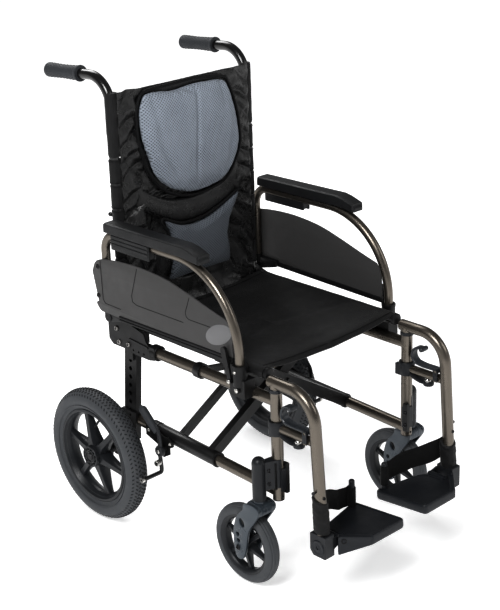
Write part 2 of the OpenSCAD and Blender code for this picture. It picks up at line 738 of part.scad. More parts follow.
right() side_frame();  // side_frame_right
left() side_frame();  // side_frame_left
right() rear_bracket();  // rear_bracket_right
left() rear_bracket();  // rear_bracket_left
right() push_cane();  // push_cane_right
left() push_cane();  // push_cane_left
right() push_grip();  // push_grip_right
left() push_grip();  // push_grip_left
right() caster_housing();  // caster_housing_right
left() caster_housing();  // caster_housing_left
right() seat_saddles();  // seat_saddles_right
left() seat_saddles();  // seat_saddles_left
right() armrest_socket();  // armrest_socket_right
left() armrest_socket();  // armrest_socket_left
right() brake_bracket();  // brake_bracket_right
left() brake_bracket();  // brake_bracket_left
right() frame_bolts();  // frame_bolts_right
left() frame_bolts();  // frame_bolts_left
right() armrest_tube();  // armrest_tube_right
left() armrest_tube();  // armrest_tube_left
right() armrest_pad();  // armrest_pad_right
left() armrest_pad();  // armrest_pad_left
right() side_panel();  // side_panel_right
left() side_panel();  // side_panel_left
right() armrest_latch();  // armrest_latch_right
left() armrest_latch();  // armrest_latch_left
right() brake_lever();  // brake_lever_right
left() brake_lever();  // brake_lever_left
right() brake_shoe();  // brake_shoe_right
left() brake_shoe();  // brake_shoe_left
right() rear_tyre();  // rear_tyre_right
left() rear_tyre();  // rear_tyre_left
right() rear_wheel();  // rear_wheel_right
left() rear_wheel();  // rear_wheel_left
right() rear_bearings();  // rear_bearings_right
left() rear_bearings();  // rear_bearings_left
right() caster_fork();  // caster_fork_right
left() caster_fork();  // caster_fork_left
right() caster_tyre();  // caster_tyre_right
left() caster_tyre();  // caster_tyre_left
right() caster_wheel();  // caster_wheel_right
left() caster_wheel();  // caster_wheel_left
right() legrest_hanger();  // legrest_hanger_right
left() legrest_hanger();  // legrest_hanger_left
right() footrest_block();  // footrest_block_right
left() footrest_block();  // footrest_block_left
right() heel_strap();  // heel_strap_right
left() heel_strap();  // heel_strap_left
right() legrest_lever();  // legrest_lever_right
left() legrest_lever();  // legrest_lever_left
right() footplate();  // footplate_right
left() footplate();  // footplate_left
right() fold_link();  // fold_link_right
left() fold_link();  // fold_link_left
cross_brace_a();
cross_brace_b();
seat_sling();
back_sling();
back_pad();
lumbar_pad();
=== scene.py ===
import math

import bmesh
import bpy
import numpy as np
from mathutils import Matrix, Vector, noise


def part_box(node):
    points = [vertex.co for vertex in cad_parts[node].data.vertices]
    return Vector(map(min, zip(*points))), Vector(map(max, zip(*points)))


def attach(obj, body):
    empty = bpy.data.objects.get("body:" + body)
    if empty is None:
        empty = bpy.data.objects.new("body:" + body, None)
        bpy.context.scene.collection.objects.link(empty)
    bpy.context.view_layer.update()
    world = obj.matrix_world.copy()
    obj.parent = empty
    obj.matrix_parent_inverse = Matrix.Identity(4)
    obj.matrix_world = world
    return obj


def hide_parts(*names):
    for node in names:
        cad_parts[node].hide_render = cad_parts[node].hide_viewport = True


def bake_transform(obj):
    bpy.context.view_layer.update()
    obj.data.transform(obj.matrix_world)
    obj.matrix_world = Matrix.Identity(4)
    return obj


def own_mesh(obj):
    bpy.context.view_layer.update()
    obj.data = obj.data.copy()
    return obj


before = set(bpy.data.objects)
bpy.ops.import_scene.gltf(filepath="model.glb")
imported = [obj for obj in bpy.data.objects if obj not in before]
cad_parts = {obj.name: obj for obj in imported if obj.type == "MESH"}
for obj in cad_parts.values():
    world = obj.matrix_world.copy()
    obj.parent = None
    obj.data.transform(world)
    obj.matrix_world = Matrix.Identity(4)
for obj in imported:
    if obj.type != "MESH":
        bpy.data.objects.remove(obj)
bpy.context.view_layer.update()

# The builders below work in millimetres on the left side (+X). make() scales to metres and mirrors.
MM = 0.001
SIDES = {"left": 1, "right": -1}


def box(node):
    """Lowest and highest corner of a CAD node, in millimetres."""
    lo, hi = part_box(node)
    return np.array(lo) / MM, np.array(hi) / MM


def middle(node):
    lo, hi = box(node)
    return (lo + hi) / 2


# ------------------------------------------------------------------ places taken from the frame

WHEEL = middle("rear_tyre_left")
WHEEL_LO, WHEEL_HI = box("rear_tyre_left")
WHEEL_R = (WHEEL_HI[2] - WHEEL_LO[2]) / 2
CASTER = middle("caster_tyre_left")
CASTER_LO, CASTER_HI = box("caster_tyre_left")
CASTER_R = (CASTER_HI[2] - CASTER_LO[2]) / 2
HOUSING_HI = box("caster_housing_left")[1]
STEM_X, STEM_Y = HOUSING_HI[0] - 14.5, box("caster_fork_left")[0][1] + 26
FRAME_LO, FRAME_HI = box("side_frame_left")
FRAME_X = (FRAME_LO[0] + FRAME_HI[0]) / 2
TUBE_R = (FRAME_HI[0] - FRAME_LO[0]) / 2
POST_Y = FRAME_LO[1] + TUBE_R
RAIL_Z = FRAME_HI[2] - 20
LOW_Z, LOW_TILT = 231, math.radians(2.3)
CANE_LO, CANE_HI = box("push_cane_left")
CANE_X, CANE_R = (CANE_LO[0] + CANE_HI[0]) / 2, (CANE_HI[0] - CANE_LO[0]) / 2
CANE_Y = CANE_LO[1] + CANE_R
ARM_LO, ARM_HI = box("armrest_tube_left")
ARM_X = (ARM_LO[0] + ARM_HI[0]) / 2
ARM_FRONT_Y = ARM_LO[1] + 10
PAD_LO, PAD_HI = box("armrest_pad_left")
SEAT_LO, SEAT_HI = box("seat_sling")
SEAT_Z = SEAT_LO[2] - 11.3
SEAT_X = SEAT_HI[0]
HANGER_LO = box("legrest_hanger_left")[0]
PLATE_LO = box("footplate_left")[0]
BACK_LO, BACK_HI = box("back_sling")
# Pivots and posts of the moving parts, on the left side
ARM_PIVOT = (236, 490)            # y, z
BRAKE_X, BRAKE_PIVOT = 238, (84.7, 212)
SHOE_PIVOT = (101, 201)
HOOK_PIVOT = (-338, 386)
PLATE_PIVOT = (170, 0, 150)       # a point on the footplate's hinge line
HEEL_X, HEEL_Y = 52, -314         # post that carries the heel strap
BRACKET_FACE = 217.3              # outer face of the rear bracket


# ------------------------------------------------------------------ materials

class Nodes:
    """Short calls for building a material's node tree."""

    def __init__(self, name):
        self.material = bpy.data.materials.new(name)
        self.material.use_nodes = True
        self.tree = self.material.node_tree
        self.shader = self.tree.nodes["Principled BSDF"]
        self.place = self.node("ShaderNodeTexCoord").outputs["Object"]

    def node(self, kind, **settings):
        n = self.tree.nodes.new(kind)
        for key, value in settings.items():
            setattr(n, key, value)
        return n

    def link(self, a, b):
        self.tree.links.new(a, b)

    def put(self, socket, value):
        if isinstance(value, bpy.types.NodeSocket):
            self.link(value, socket)
        else:
            socket.default_value = value

    def noise(self, scale, detail=3.0, rough=0.55, place=None):
        n = self.node("ShaderNodeTexNoise")
        self.link(place or self.place, n.inputs["Vector"])
        n.inputs["Scale"].default_value = scale
        n.inputs["Detail"].default_value = detail
        n.inputs["Roughness"].default_value = rough
        return n.outputs["Fac"]

    def voronoi(self, scale, randomness=1.0, place=None):
        n = self.node("ShaderNodeTexVoronoi")
        self.link(place or self.place, n.inputs["Vector"])
        n.inputs["Scale"].default_value = scale
        n.inputs["Randomness"].default_value = randomness
        return n.outputs["Distance"]

    def math(self, op, a, b=0.0):
        n = self.node("ShaderNodeMath", operation=op)
        for socket, value in zip(n.inputs, (a, b)):
            self.put(socket, value)
        return n.outputs[0]

    def ramp(self, value, low, high, out_low=0.0, out_high=1.0):
        n = self.node("ShaderNodeMapRange", clamp=True)
        for socket, v in zip(n.inputs, (value, low, high, out_low, out_high)):
            self.put(socket, v)
        return n.outputs[0]

    def mix(self, factor, a, b):
        n = self.node("ShaderNodeMix", data_type="RGBA")
        for socket, value in zip((n.inputs[0], n.inputs[6], n.inputs[7]), (factor, a, b)):
            self.put(socket, value)
        return n.outputs[2]

    def mapped(self, scale=(1, 1, 1), rotation=(0, 0, 0)):
        n = self.node("ShaderNodeMapping")
        self.link(self.place, n.inputs["Vector"])
        n.inputs["Scale"].default_value = scale
        n.inputs["Rotation"].default_value = rotation
        return n.outputs[0]

    def bump(self, height, strength, distance, under=None):
        n = self.node("ShaderNodeBump")
        n.inputs["Strength"].default_value = strength
        n.inputs["Distance"].default_value = distance
        self.link(height, n.inputs["Height"])
        if under is not None:
            self.link(under, n.inputs["Normal"])
        return n.outputs[0]

    def set(self, **values):
        for key, value in values.items():
            self.put(self.shader.inputs[key.replace("_", " ")], value)
        return self


def shade(colour, k):
    return tuple(min(1.0, c * k) for c in colour[:3]) + (1.0,)


def moulded(name, colour, rough=0.5, grain=900, depth=0.00012, strength=0.25, spread=0.12, dust=0.0,
            spec=0.5):
    """Moulded plastic or rubber: a fine pebble, slow colour change, uneven gloss and a little dust."""
    n = Nodes(name)
    slow = n.noise(9, 2)
    fine = n.noise(grain, 2, 0.6)
    tone = n.mix(slow, shade(colour, 1 - spread), shade(colour, 1 + spread))
    if dust:
        specks = n.ramp(n.noise(60, 5, 0.7), 0.52, 0.75)
        tone = n.mix(n.math("MULTIPLY", specks, dust), tone, shade((0.42, 0.40, 0.37), 1))
    n.set(Base_Color=tone, Roughness=n.ramp(n.noise(35, 4), 0.3, 0.7, rough - 0.07, rough + 0.07),
          Normal=n.bump(fine, strength, depth), Specular_IOR_Level=spec)
    return n.material


def painted(name, colour, rough=0.3, metallic=0.0, coat=0.0, peel=260, flake=0.0):
    """Painted or anodised metal: orange peel, fine flake and faint handling marks."""
    n = Nodes(name)
    tone = n.mix(n.noise(6, 2), shade(colour, 0.93), shade(colour, 1.07))
    if flake:
        tone = n.mix(n.math("MULTIPLY", n.voronoi(2600), flake), tone, shade(colour, 1.7))
    marks = n.noise(1, 4, 0.6, n.mapped((90, 14, 14)))
    n.set(Base_Color=tone, Roughness=n.ramp(marks, 0.35, 0.75, rough - 0.04, rough + 0.09),
          Normal=n.bump(n.noise(peel, 2), 0.06, 0.0003),
          Metallic=metallic, Coat_Weight=coat, Coat_Roughness=0.12)
    return n.material


def zinc(name, colour=(0.62, 0.61, 0.59), rough=0.28):
    n = Nodes(name)
    tone = n.mix(n.noise(80, 4), shade(colour, 0.75), shade(colour, 1.1))
    n.set(Base_Color=tone, Roughness=n.ramp(n.noise(240, 3), 0.3, 0.7, rough - 0.08, rough + 0.12),
          Normal=n.bump(n.noise(1500, 2), 0.12, 0.0001), Metallic=1.0)
    return n.material


def woven(name, colour, across="X", along="Z", pitch=0.0011, rough=0.62, sheen=0.25, depth=0.00022,
          spread=0.22, spec=0.35):
    """Plain weave: the threads of two directions go over each other in turn."""
    n = Nodes(name)
    parts = n.node("ShaderNodeSeparateXYZ")
    n.link(n.place, parts.inputs[0])
    u = n.math("DIVIDE", parts.outputs[across], pitch)
    v = n.math("DIVIDE", parts.outputs[along], pitch)
    turn = n.math("ABSOLUTE", n.math("MODULO", n.math("ADD", n.math("FLOOR", u), n.math("FLOOR", v)), 2.0))
    over = n.math("ABSOLUTE", n.math("SINE", n.math("MULTIPLY", u, math.pi)))
    under = n.math("ABSOLUTE", n.math("SINE", n.math("MULTIPLY", v, math.pi)))
    height = n.math("ADD", n.math("MULTIPLY", over, turn),
                    n.math("MULTIPLY", under, n.math("SUBTRACT", 1.0, turn)))
    tone = n.mix(n.ramp(height, 0.1, 0.9), shade(colour, 1 - spread * 1.6), shade(colour, 1 + spread))
    tone = n.mix(n.ramp(n.noise(22, 4), 0.35, 0.7, 0, 0.3), tone, shade(colour, 1.6))
    n.set(Base_Color=tone, Roughness=n.ramp(n.noise(40, 3), 0.3, 0.7, rough - 0.06, rough + 0.08),
          Normal=n.bump(height, 0.55, depth),
          Sheen_Weight=sheen, Sheen_Roughness=0.4, Specular_IOR_Level=spec)
    return n.material


def spacer_mesh(name, colour, pitch=0.0042):
    """Knitted spacer fabric: open eyes in diagonal rows between soft yarns."""
    n = Nodes(name)
    eyes = n.voronoi(1 / pitch, 0.0, place=n.mapped(rotation=(0, math.radians(45), 0), scale=(1, 0, 1)))
    open_eye = n.ramp(eyes, 0.22, 0.40)
    yarn = n.noise(2400, 2)
    tone = n.mix(open_eye, shade(colour, 0.26), shade(colour, 1.0))
    tone = n.mix(n.ramp(n.noise(14, 3), 0.35, 0.7, 0, 0.25), tone, shade(colour, 1.3))
    tone = n.mix(n.math("MULTIPLY", yarn, 0.35), tone, shade(colour, 0.6))
    n.set(Base_Color=tone, Roughness=n.ramp(yarn, 0.3, 0.7, 0.7, 0.9),
          Normal=n.bump(open_eye, 0.8, 0.0009, n.bump(yarn, 0.3, 0.0002)),
          Sheen_Weight=0.12, Sheen_Roughness=0.35, Specular_IOR_Level=0.25)
    return n.material


def webbing(name, colour, ribs="X", pitch=0.0016):
    """Narrow woven strap with ribs across its run."""
    n = Nodes(name)
    parts = n.node("ShaderNodeSeparateXYZ")
    n.link(n.place, parts.inputs[0])
    rib = n.math("ABSOLUTE", n.math("SINE", n.math("MULTIPLY", parts.outputs[ribs], math.pi / pitch)))
    cross = n.math("ABSOLUTE", n.math("SINE", n.math("MULTIPLY", parts.outputs["Z"], math.pi / 0.0024)))
    height = n.math("ADD", rib, n.math("MULTIPLY", cross, 0.5))
    tone = n.mix(n.ramp(height, 0.2, 1.3), shade(colour, 0.5), shade(colour, 1.35))
    n.set(Base_Color=tone, Roughness=n.ramp(n.noise(50, 3), 0.3, 0.7, 0.74, 0.9),
          Normal=n.bump(height, 0.6, 0.0003),
          Sheen_Weight=0.06, Specular_IOR_Level=0.25)
    return n.material


BRONZE = painted("bronze_anodised", (0.160, 0.143, 0.123), 0.29, 0.9, 0.0, 900, 0.08)
BLACK_GLOSS = painted("black_paint", (0.006, 0.006, 0.0065), 0.22, 0.0, 0.35, 300)
BLACK_SATIN = painted("black_powder_coat", (0.007, 0.007, 0.0075), 0.36, 0.0, 0.05, 700)
BLACK_PLASTIC = moulded("black_nylon_plastic", (0.009, 0.009, 0.0095), 0.42, 1400, 0.0001, 0.2, spec=0.3)
DARK_PLASTIC = moulded("graphite_plastic", (0.0175, 0.019, 0.022), 0.40, 1300, 0.0001, 0.25, spec=0.35)
PAD_PLASTIC = moulded("armrest_leathergrain", (0.014, 0.0145, 0.0155), 0.50, 520, 0.0005, 0.75, 0.16,
                      spec=0.35)
PANEL_GREY = moulded("skirt_plastic", (0.066, 0.065, 0.065), 0.50, 1500, 0.0001, 0.3, 0.05, spec=0.3)
WHEEL_PLASTIC = moulded("wheel_plastic", (0.021, 0.0228, 0.026), 0.36, 1500, 0.0001, 0.2, spec=0.35)
FORK_PAINT = painted("fork_cast_paint", (0.055, 0.067, 0.080), 0.28, 0.35, 0.2, 500)
TYRE = moulded("grey_tyre_rubber", (0.070, 0.074, 0.080), 0.56, 700, 0.0002, 0.3, 0.10, 0.05, 0.3)
TREAD = moulded("tread_rubber", (0.022, 0.023, 0.025), 0.66, 700, 0.0002, 0.3, 0.15, 0.08, 0.25)
GRIP = moulded("grip_rubber", (0.042, 0.045, 0.050), 0.60, 900, 0.0002, 0.3, 0.12, 0.0, 0.3)
FOOT_PLASTIC = moulded("footplate_plastic", (0.0165, 0.0185, 0.0225), 0.40, 620, 0.0003, 0.5, 0.10, 0.015,
                       spec=0.35)
ZINC = zinc("zinc_plated_steel")
DARK_ZINC = zinc("dark_zinc_steel", (0.30, 0.29, 0.28), 0.34)
BRIGHT = zinc("polished_steel", (0.80, 0.79, 0.77), 0.16)
DARK_BOLT = painted("blackened_steel", (0.03, 0.03, 0.032), 0.30, 0.8)
NYLON = woven("black_nylon_weave", (0.0042, 0.0042, 0.0045), spec=0.65, rough=0.28, sheen=0.02)
NYLON_SEAT = woven("black_seat_weave", (0.0085, 0.0085, 0.0088), "X", "Y", 0.0013, rough=0.44, spec=0.4,
                   sheen=0.10)
SLEEVE = woven("black_velcro_sleeve", (0.008, 0.008, 0.0085), "Y", "Z", 0.0015, 0.7, 0.12)
PIPING = woven("black_piping", (0.0035, 0.0035, 0.004), "X", "Z", 0.0008, 0.5, 0.05, spec=0.2)
MESH_BLUE = spacer_mesh("blue_grey_spacer_mesh", (0.300, 0.333, 0.382), 0.0051)
MESH_LOW = spacer_mesh("grey_lumbar_mesh", (0.135, 0.150, 0.172), 0.0046)
STRAP = webbing("black_webbing", (0.0050, 0.0050, 0.0055))
STRAP_WRAP = woven("strap_wrap_nylon", (0.0075, 0.0075, 0.008), "X", "Z", 0.0016, 0.65, 0.1)
BADGE = moulded("blank_badge", (0.145, 0.145, 0.149), 0.42, 2000, 0.00005, 0.1, 0.04)
LABEL = moulded("blank_label", (0.42, 0.43, 0.44), 0.35, 2000, 0.00005, 0.1, 0.05)
LEVER = moulded("lever_nylon", (0.026, 0.030, 0.036), 0.36, 1300, 0.0001, 0.25, spec=0.45)
# Near-black colour: painted shade for the grooves moulded in the grey skirt panel
GROOVE_SHADE = moulded("skirt_groove_painted_shade", (0.012, 0.012, 0.0125), 0.6, 1500, 0.0001, 0.2, spec=0.2)


# ------------------------------------------------------------------ shapes

def new_object(name, data):
    ob = bpy.data.objects.new(name, data)
    bpy.context.scene.collection.objects.link(ob)
    return ob


def evaluated_mesh(ob):
    """A new mesh with the object's modifiers applied."""
    return bpy.data.meshes.new_from_object(ob.evaluated_get(bpy.context.evaluated_depsgraph_get()))


def add_bevel(ob, width, segments, degrees):
    m = ob.modifiers.new("bevel", "BEVEL")
    m.width, m.segments, m.limit_method, m.angle_limit = width * MM, segments, "ANGLE", math.radians(degrees)
    return m


def three(plane, u, v, t):
    """A point of a drawing plane, with t along its normal."""
    return {"YZ": (t, u, v), "XZ": (u, t, v), "XY": (u, v, t)}[plane]


class Shape:
    """Points in millimetres, and faces with the number of their material."""

    def __init__(self, slot=0):
        self.v, self.f, self.m, self.slot = [], [], [], slot

    def add(self, verts, faces, slot=None):
        base = len(self.v)
        self.v += [tuple(float(c) for c in p) for p in verts]
        self.f += [[i + base for i in face] for face in faces]
        self.m += [self.slot if slot is None else slot] * len(faces)
        return self

    def rings(self, rings, closed_round=True, closed_along=False, caps=True):
        """Skin over rings that have the same number of points."""
        n, k = len(rings[0]), len(rings)
        verts = [p for ring in rings for p in ring]
        faces = []
        for i in range(k if closed_along else k - 1):
            for j in range(n if closed_round else n - 1):
                a, b = i * n + j, i * n + (j + 1) % n
                c, d = ((i + 1) % k) * n + (j + 1) % n, ((i + 1) % k) * n + j
                faces.append([a, b, c, d])
        if caps and closed_round and not closed_along:
            faces += [list(range(n)), list(range((k - 1) * n, k * n))]
        return self.add(verts, faces)

    def revolve(self, profile, centre, axis="X", n=64, closed=False):
        """Turns (along, radius) points about an axis through the centre."""
        rings = []
        for t in turns(n):
            c, s = math.cos(t), math.sin(t)
            at = {"X": lambda a, r: (a, r * c, r * s), "Y": lambda a, r: (r * s, a, r * c),
                  "Z": lambda a, r: (r * c, r * s, a)}[axis]
            rings.append([np.add(centre, at(a, max(r, 0.01))) for a, r in profile])
        return self.rings(rings, closed_round=closed, closed_along=True, caps=False)

    def tube(self, path, radius, n=16, closed=False, flat=None):
        """Sweeps a circle, or an ellipse with flat = (width, height) shares, along a path."""
        pts = [Vector(p) for p in path]
        k = len(pts)
        up, rings = None, []
        for i, p in enumerate(pts):
            a = pts[(i - 1) % k] if closed or i else p
            b = pts[(i + 1) % k] if closed or i < k - 1 else p
            t = (b - a).normalized()
            if up is None:
                up = (t.orthogonal() if abs(t.x) > 0.9 else t.cross(Vector((1, 0, 0)))).normalized()
            up = (up - t * up.dot(t)).normalized()
            side = t.cross(up)
            r = radius(i / (k - 1)) if callable(radius) else radius
            w, h = flat or (1, 1)
            rings.append([p + (side * math.cos(q) * w + up * math.sin(q) * h) * r for q in turns(n)])
        return self.rings(rings, closed_along=closed)

    def block(self, lo, hi):
        x0, y0, z0 = lo
        x1, y1, z1 = hi
        return self.rings([[(x0, y0, z), (x1, y0, z), (x1, y1, z), (x0, y1, z)] for z in (z0, z1)])

    def slab(self, outline, t0, t1, plane="YZ"):
        return self.rings([[three(plane, u, v, t) for u, v in outline] for t in (t0, t1)])

    def plate(self, outline, holes, t0, t1, plane="YZ", edge=0.6):
        """A flat plate with real holes and rounded edges."""
        curve = bpy.data.curves.new("plate", "CURVE")
        curve.dimensions, curve.fill_mode = "2D", "BOTH"
        curve.extrude, curve.bevel_depth, curve.bevel_resolution = (t1 - t0) / 2 - edge, edge, 1
        curve.offset = -edge
        for loop in [outline] + list(holes):
            line = curve.splines.new("POLY")
            line.points.add(len(loop) - 1)
            line.use_cyclic_u = True
            for point, (u, v) in zip(line.points, loop):
                point.co = (u, v, 0, 1)
        ob = new_object("plate", curve)
        bpy.context.view_layer.update()
        mesh = evaluated_mesh(ob)
        mid = (t0 + t1) / 2
        self.add([three(plane, p.co.x, p.co.y, mid + p.co.z) for p in mesh.vertices],
                 [list(p.vertices) for p in mesh.polygons])
        bpy.data.objects.remove(ob)
        bpy.data.curves.remove(curve)
        bpy.data.meshes.remove(mesh)
        return self

    def bolt(self, p, axis="X", r=5.0, h=3.5, sign=1, slot=None):
        """A button head with a round socket recess, standing on p."""
        keep, self.slot = self.slot, self.slot if slot is None else slot
        self.revolve([(0, 0.02), (0, r), (sign * h * 0.45, r), (sign * h * 0.85, r * 0.82),
                      (sign * h, r * 0.55), (sign * h, r * 0.48), (sign * h * 0.35, r * 0.44),
                      (sign * h * 0.35, 0.02)], p, axis, 18)
        self.slot = keep
        return self


def turns(n):
    """The angles of n points round a circle."""
    return [2 * math.pi * i / n for i in range(n)]


def grid_faces(across, along):
    """Faces of a sheet whose points lie in rows."""
    row = across + 1
    return [[j * row + i, j * row + i + 1, (j + 1) * row + i + 1, (j + 1) * row + i]
            for j in range(along) for i in range(across)]


def circle(u, v, r, n=24):
    return [(u + r * math.cos(t), v + r * math.sin(t)) for t in turns(n)]


def oval(u, v, a, b, n, turn):
    c, s = math.cos(turn), math.sin(turn)
    points = [(a * math.cos(t), b * math.sin(t)) for t in turns(n)]
    return [(u + x * c - y * s, v + x * s + y * c) for x, y in points]


def rounded(points, radius, n=6):
    """A closed outline with its corners rounded. radius is one number, or one for each corner."""
    out, k = [], len(points)
    for i in range(k):
        p, a, b = (Vector(points[j % k]) for j in (i, i - 1, i + 1))
        r = radius[i] if isinstance(radius, (list, tuple)) else radius
        da, db = (a - p).normalized(), (b - p).normalized()
        half = math.acos(max(-1, min(1, da.dot(db)))) / 2
        if r <= 0.01 or half > 1.53:
            out.append(tuple(p))
            continue
        cut = min(r / math.tan(half), (a - p).length * 0.49, (b - p).length * 0.49)
        start, end = p + da * cut, p + db * cut
        for j in range(n + 1):
            t = j / n
            out.append(tuple(start * (1 - t) ** 2 + p * 2 * t * (1 - t) + end * t ** 2))
    return out


def smooth_path(points, per=8, closed=False):
    """A smooth curve through a few points."""
    pts = [Vector(p) for p in points]
    k = len(pts)
    out = []
    for i in range(k if closed else k - 1):
        near = (i - 1, i, i + 1, i + 2)
        a, b, c, d = (pts[j % k] if closed else pts[max(0, min(k - 1, j))] for j in near)
        for j in range(per):
            t = j / per
            out.append(0.5 * (2 * b + (c - a) * t + (2 * a - 5 * b + 4 * c - d) * t * t
                              + (3 * b - a - 3 * c + d) * t ** 3))
    return out if closed else out + [pts[-1]]


def arc_path(cu, cv, r, a0, a1, n=16):
    return [(cu + r * math.cos(math.radians(a0 + (a1 - a0) * i / n)),
             cv + r * math.sin(math.radians(a0 + (a1 - a0) * i / n))) for i in range(n + 1)]


def make(name, shape, materials, body=None, side=1, bevel=0.0, segments=2, replaces=None,
         angle=38):
    """A finished piece from a shape: scaled, mirrored for the right side, shaded, and put on its body."""
    mesh = bpy.data.meshes.new(name)
    mesh.from_pydata([(x * MM * side, y * MM, z * MM) for x, y, z in shape.v], [], shape.f)
    materials = materials if isinstance(materials, (list, tuple)) else [materials]
    for m in materials:
        mesh.materials.append(m)
    mesh.polygons.foreach_set("material_index", shape.m)
    work = bmesh.new()
    work.from_mesh(mesh)
    bmesh.ops.remove_doubles(work, verts=work.verts, dist=2e-6)
    bmesh.ops.recalc_face_normals(work, faces=work.faces)
    work.to_mesh(mesh)
    work.free()
    ob = new_object(name, mesh)
    if bevel:
        add_bevel(ob, bevel, segments, 35)
    shade_by_angle(ob, angle)
    if body:
        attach(ob, body)
    if replaces:
        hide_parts(replaces)
    return ob


def shade_by_angle(ob, degrees):
    mesh = ob.data
    mesh.polygons.foreach_set("use_smooth", [True] * len(mesh.polygons))
    work = bmesh.new()
    work.from_mesh(mesh)
    limit = math.radians(degrees)
    for e in work.edges:
        e.smooth = len(e.link_faces) == 2 and e.calc_face_angle(0) < limit
    work.to_mesh(mesh)
    work.free()


# ------------------------------------------------------------------ CAD nodes that stay

def dress(node, material, bevel=0.0):
    """Gives a CAD node its material, and softens its edges."""
    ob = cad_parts[node]
    for i in range(max(1, len(ob.data.materials))):
        if i < len(ob.data.materials):
            ob.data.materials[i] = material
        else:
            ob.data.materials.append(material)
    if bevel:
        m = ob.modifiers.new("weld", "WELD")
        m.merge_threshold = 0.00002
        add_bevel(ob, bevel, 2, 50).use_clamp_overlap = True


for side_name in SIDES:
    for base, material, bevel in (
            ("side_frame", BRONZE, 0), ("push_cane", BLACK_GLOSS, 0), ("armrest_tube", BRONZE, 0),
            ("legrest_hanger", BRONZE, 0), ("rear_bracket", BLACK_PLASTIC, 0.5),
            ("seat_saddles", BLACK_PLASTIC, 1.0), ("armrest_socket", BLACK_PLASTIC, 0.8),
            ("caster_housing", DARK_PLASTIC, 0), ("frame_bolts", DARK_BOLT, 0),
            ("brake_bracket", BLACK_PLASTIC, 0.5), ("armrest_latch", BLACK_PLASTIC, 0.6),
            ("rear_bearings", ZINC, 0), ("fold_link", BLACK_SATIN, 0.5)):
        dress(f"{base}_{side_name}", material, bevel)
for node in ("cross_brace_a", "cross_brace_b"):
    dress(node, BLACK_SATIN, 0.8)


# ------------------------------------------------------------------ rear wheels

def wheel_spokes(shape, centre, count, r0, r1, width0, width1, depth0, depth1, start=0.0):
    """Spokes that narrow outwards, deep at the hub and shallow at the rim."""
    cx, cy, cz = centre
    for spoke in turns(count):
        t = start + spoke
        out, along = (math.cos(t), math.sin(t)), (-math.sin(t), math.cos(t))
        rings = []
        for k in range(5):
            s = k / 4
            r = r0 + (r1 - r0) * s
            flare = 1 + 0.45 * (2 * s - 1) ** 4
            w = (width0 + (width1 - width0) * s) / 2 * flare
            d = (depth0 + (depth1 - depth0) * s) / 2
            ring = []
            for a, b in ((-d, -w * 0.7), (-d, w * 0.7), (-d * 0.4, w), (d * 0.4, w), (d, w * 0.7),
                         (d, -w * 0.7), (d * 0.4, -w), (-d * 0.4, -w)):
                ring.append((cx + a, cy + out[0] * r + along[0] * b, cz + out[1] * r + along[1] * b))
            rings.append(ring)
        shape.rings(rings)


def rear_tyre(name, side):
    cx, cy, cz = WHEEL
    half = (WHEEL_HI[0] - WHEEL_LO[0]) / 2
    casing = Shape()
    profile = []
    for i in range(33):
        t = math.radians(-128 + 256 * i / 32)
        profile.append((half * 0.985 * math.sin(t), WHEEL_R - half + (half - 2.2) * math.cos(t)))
    bead = WHEEL_R - half - 24
    profile += [(15, bead - 2), (15, bead - 6), (-15, bead - 6), (-15, bead - 2)]
    casing.revolve(profile, WHEEL, "X", 128, closed=True)
    for s in (-1, 1):
        casing.revolve([(s * 23.5, WHEEL_R - half - 12), (s * 25.2, WHEEL_R - half - 10.6),
                        (s * 25.6, WHEEL_R - half - 9), (s * 24, WHEEL_R - half - 8.6)], WHEEL, "X", 96,
                        closed=True)
    tread = Shape(1)
    rows = ((-21, 6.0, 4.6), (-14, 6.0, 4.0), (-7, 5.6, 4.0), (0, 5.6, 4.0), (7, 5.6, 4.0), (14, 6.0, 4.0),
            (21, 6.0, 4.6))
    count = 92
    for row, (across, wide, long) in enumerate(rows):
        tip = math.asin(max(-1, min(1, across / half)))
        for i in range(count):
            turn = 2 * math.pi * (i + 0.5 * (row % 2)) / count
            skew = 0.32 * (-1) ** row
            foot, top = [], []
            for a, b in ((-1, -1), (1, -1), (1, 1), (-1, 1)):
                for level, shrink, ring in ((-1.2, 1.0, foot), (1.5, 0.86, top)):
                    lean = tip + a * wide / 2 * shrink / half
                    radius = WHEEL_R - half + (half - 2.2 + level) * math.cos(lean)
                    ang = turn + (b * long / 2 * shrink + a * skew * long) / WHEEL_R
                    ring.append((cx + (half - 2.2 + level) * math.sin(lean), cy + radius * math.cos(ang),
                                 cz + radius * math.sin(ang)))
            tread.rings([foot, top])
    casing.add(tread.v, tread.f, 1)
    make(f"rear_tyre_tread_{name}", casing, [TYRE, TREAD], f"rear_wheel_{name}", side,
         replaces=f"rear_tyre_{name}")


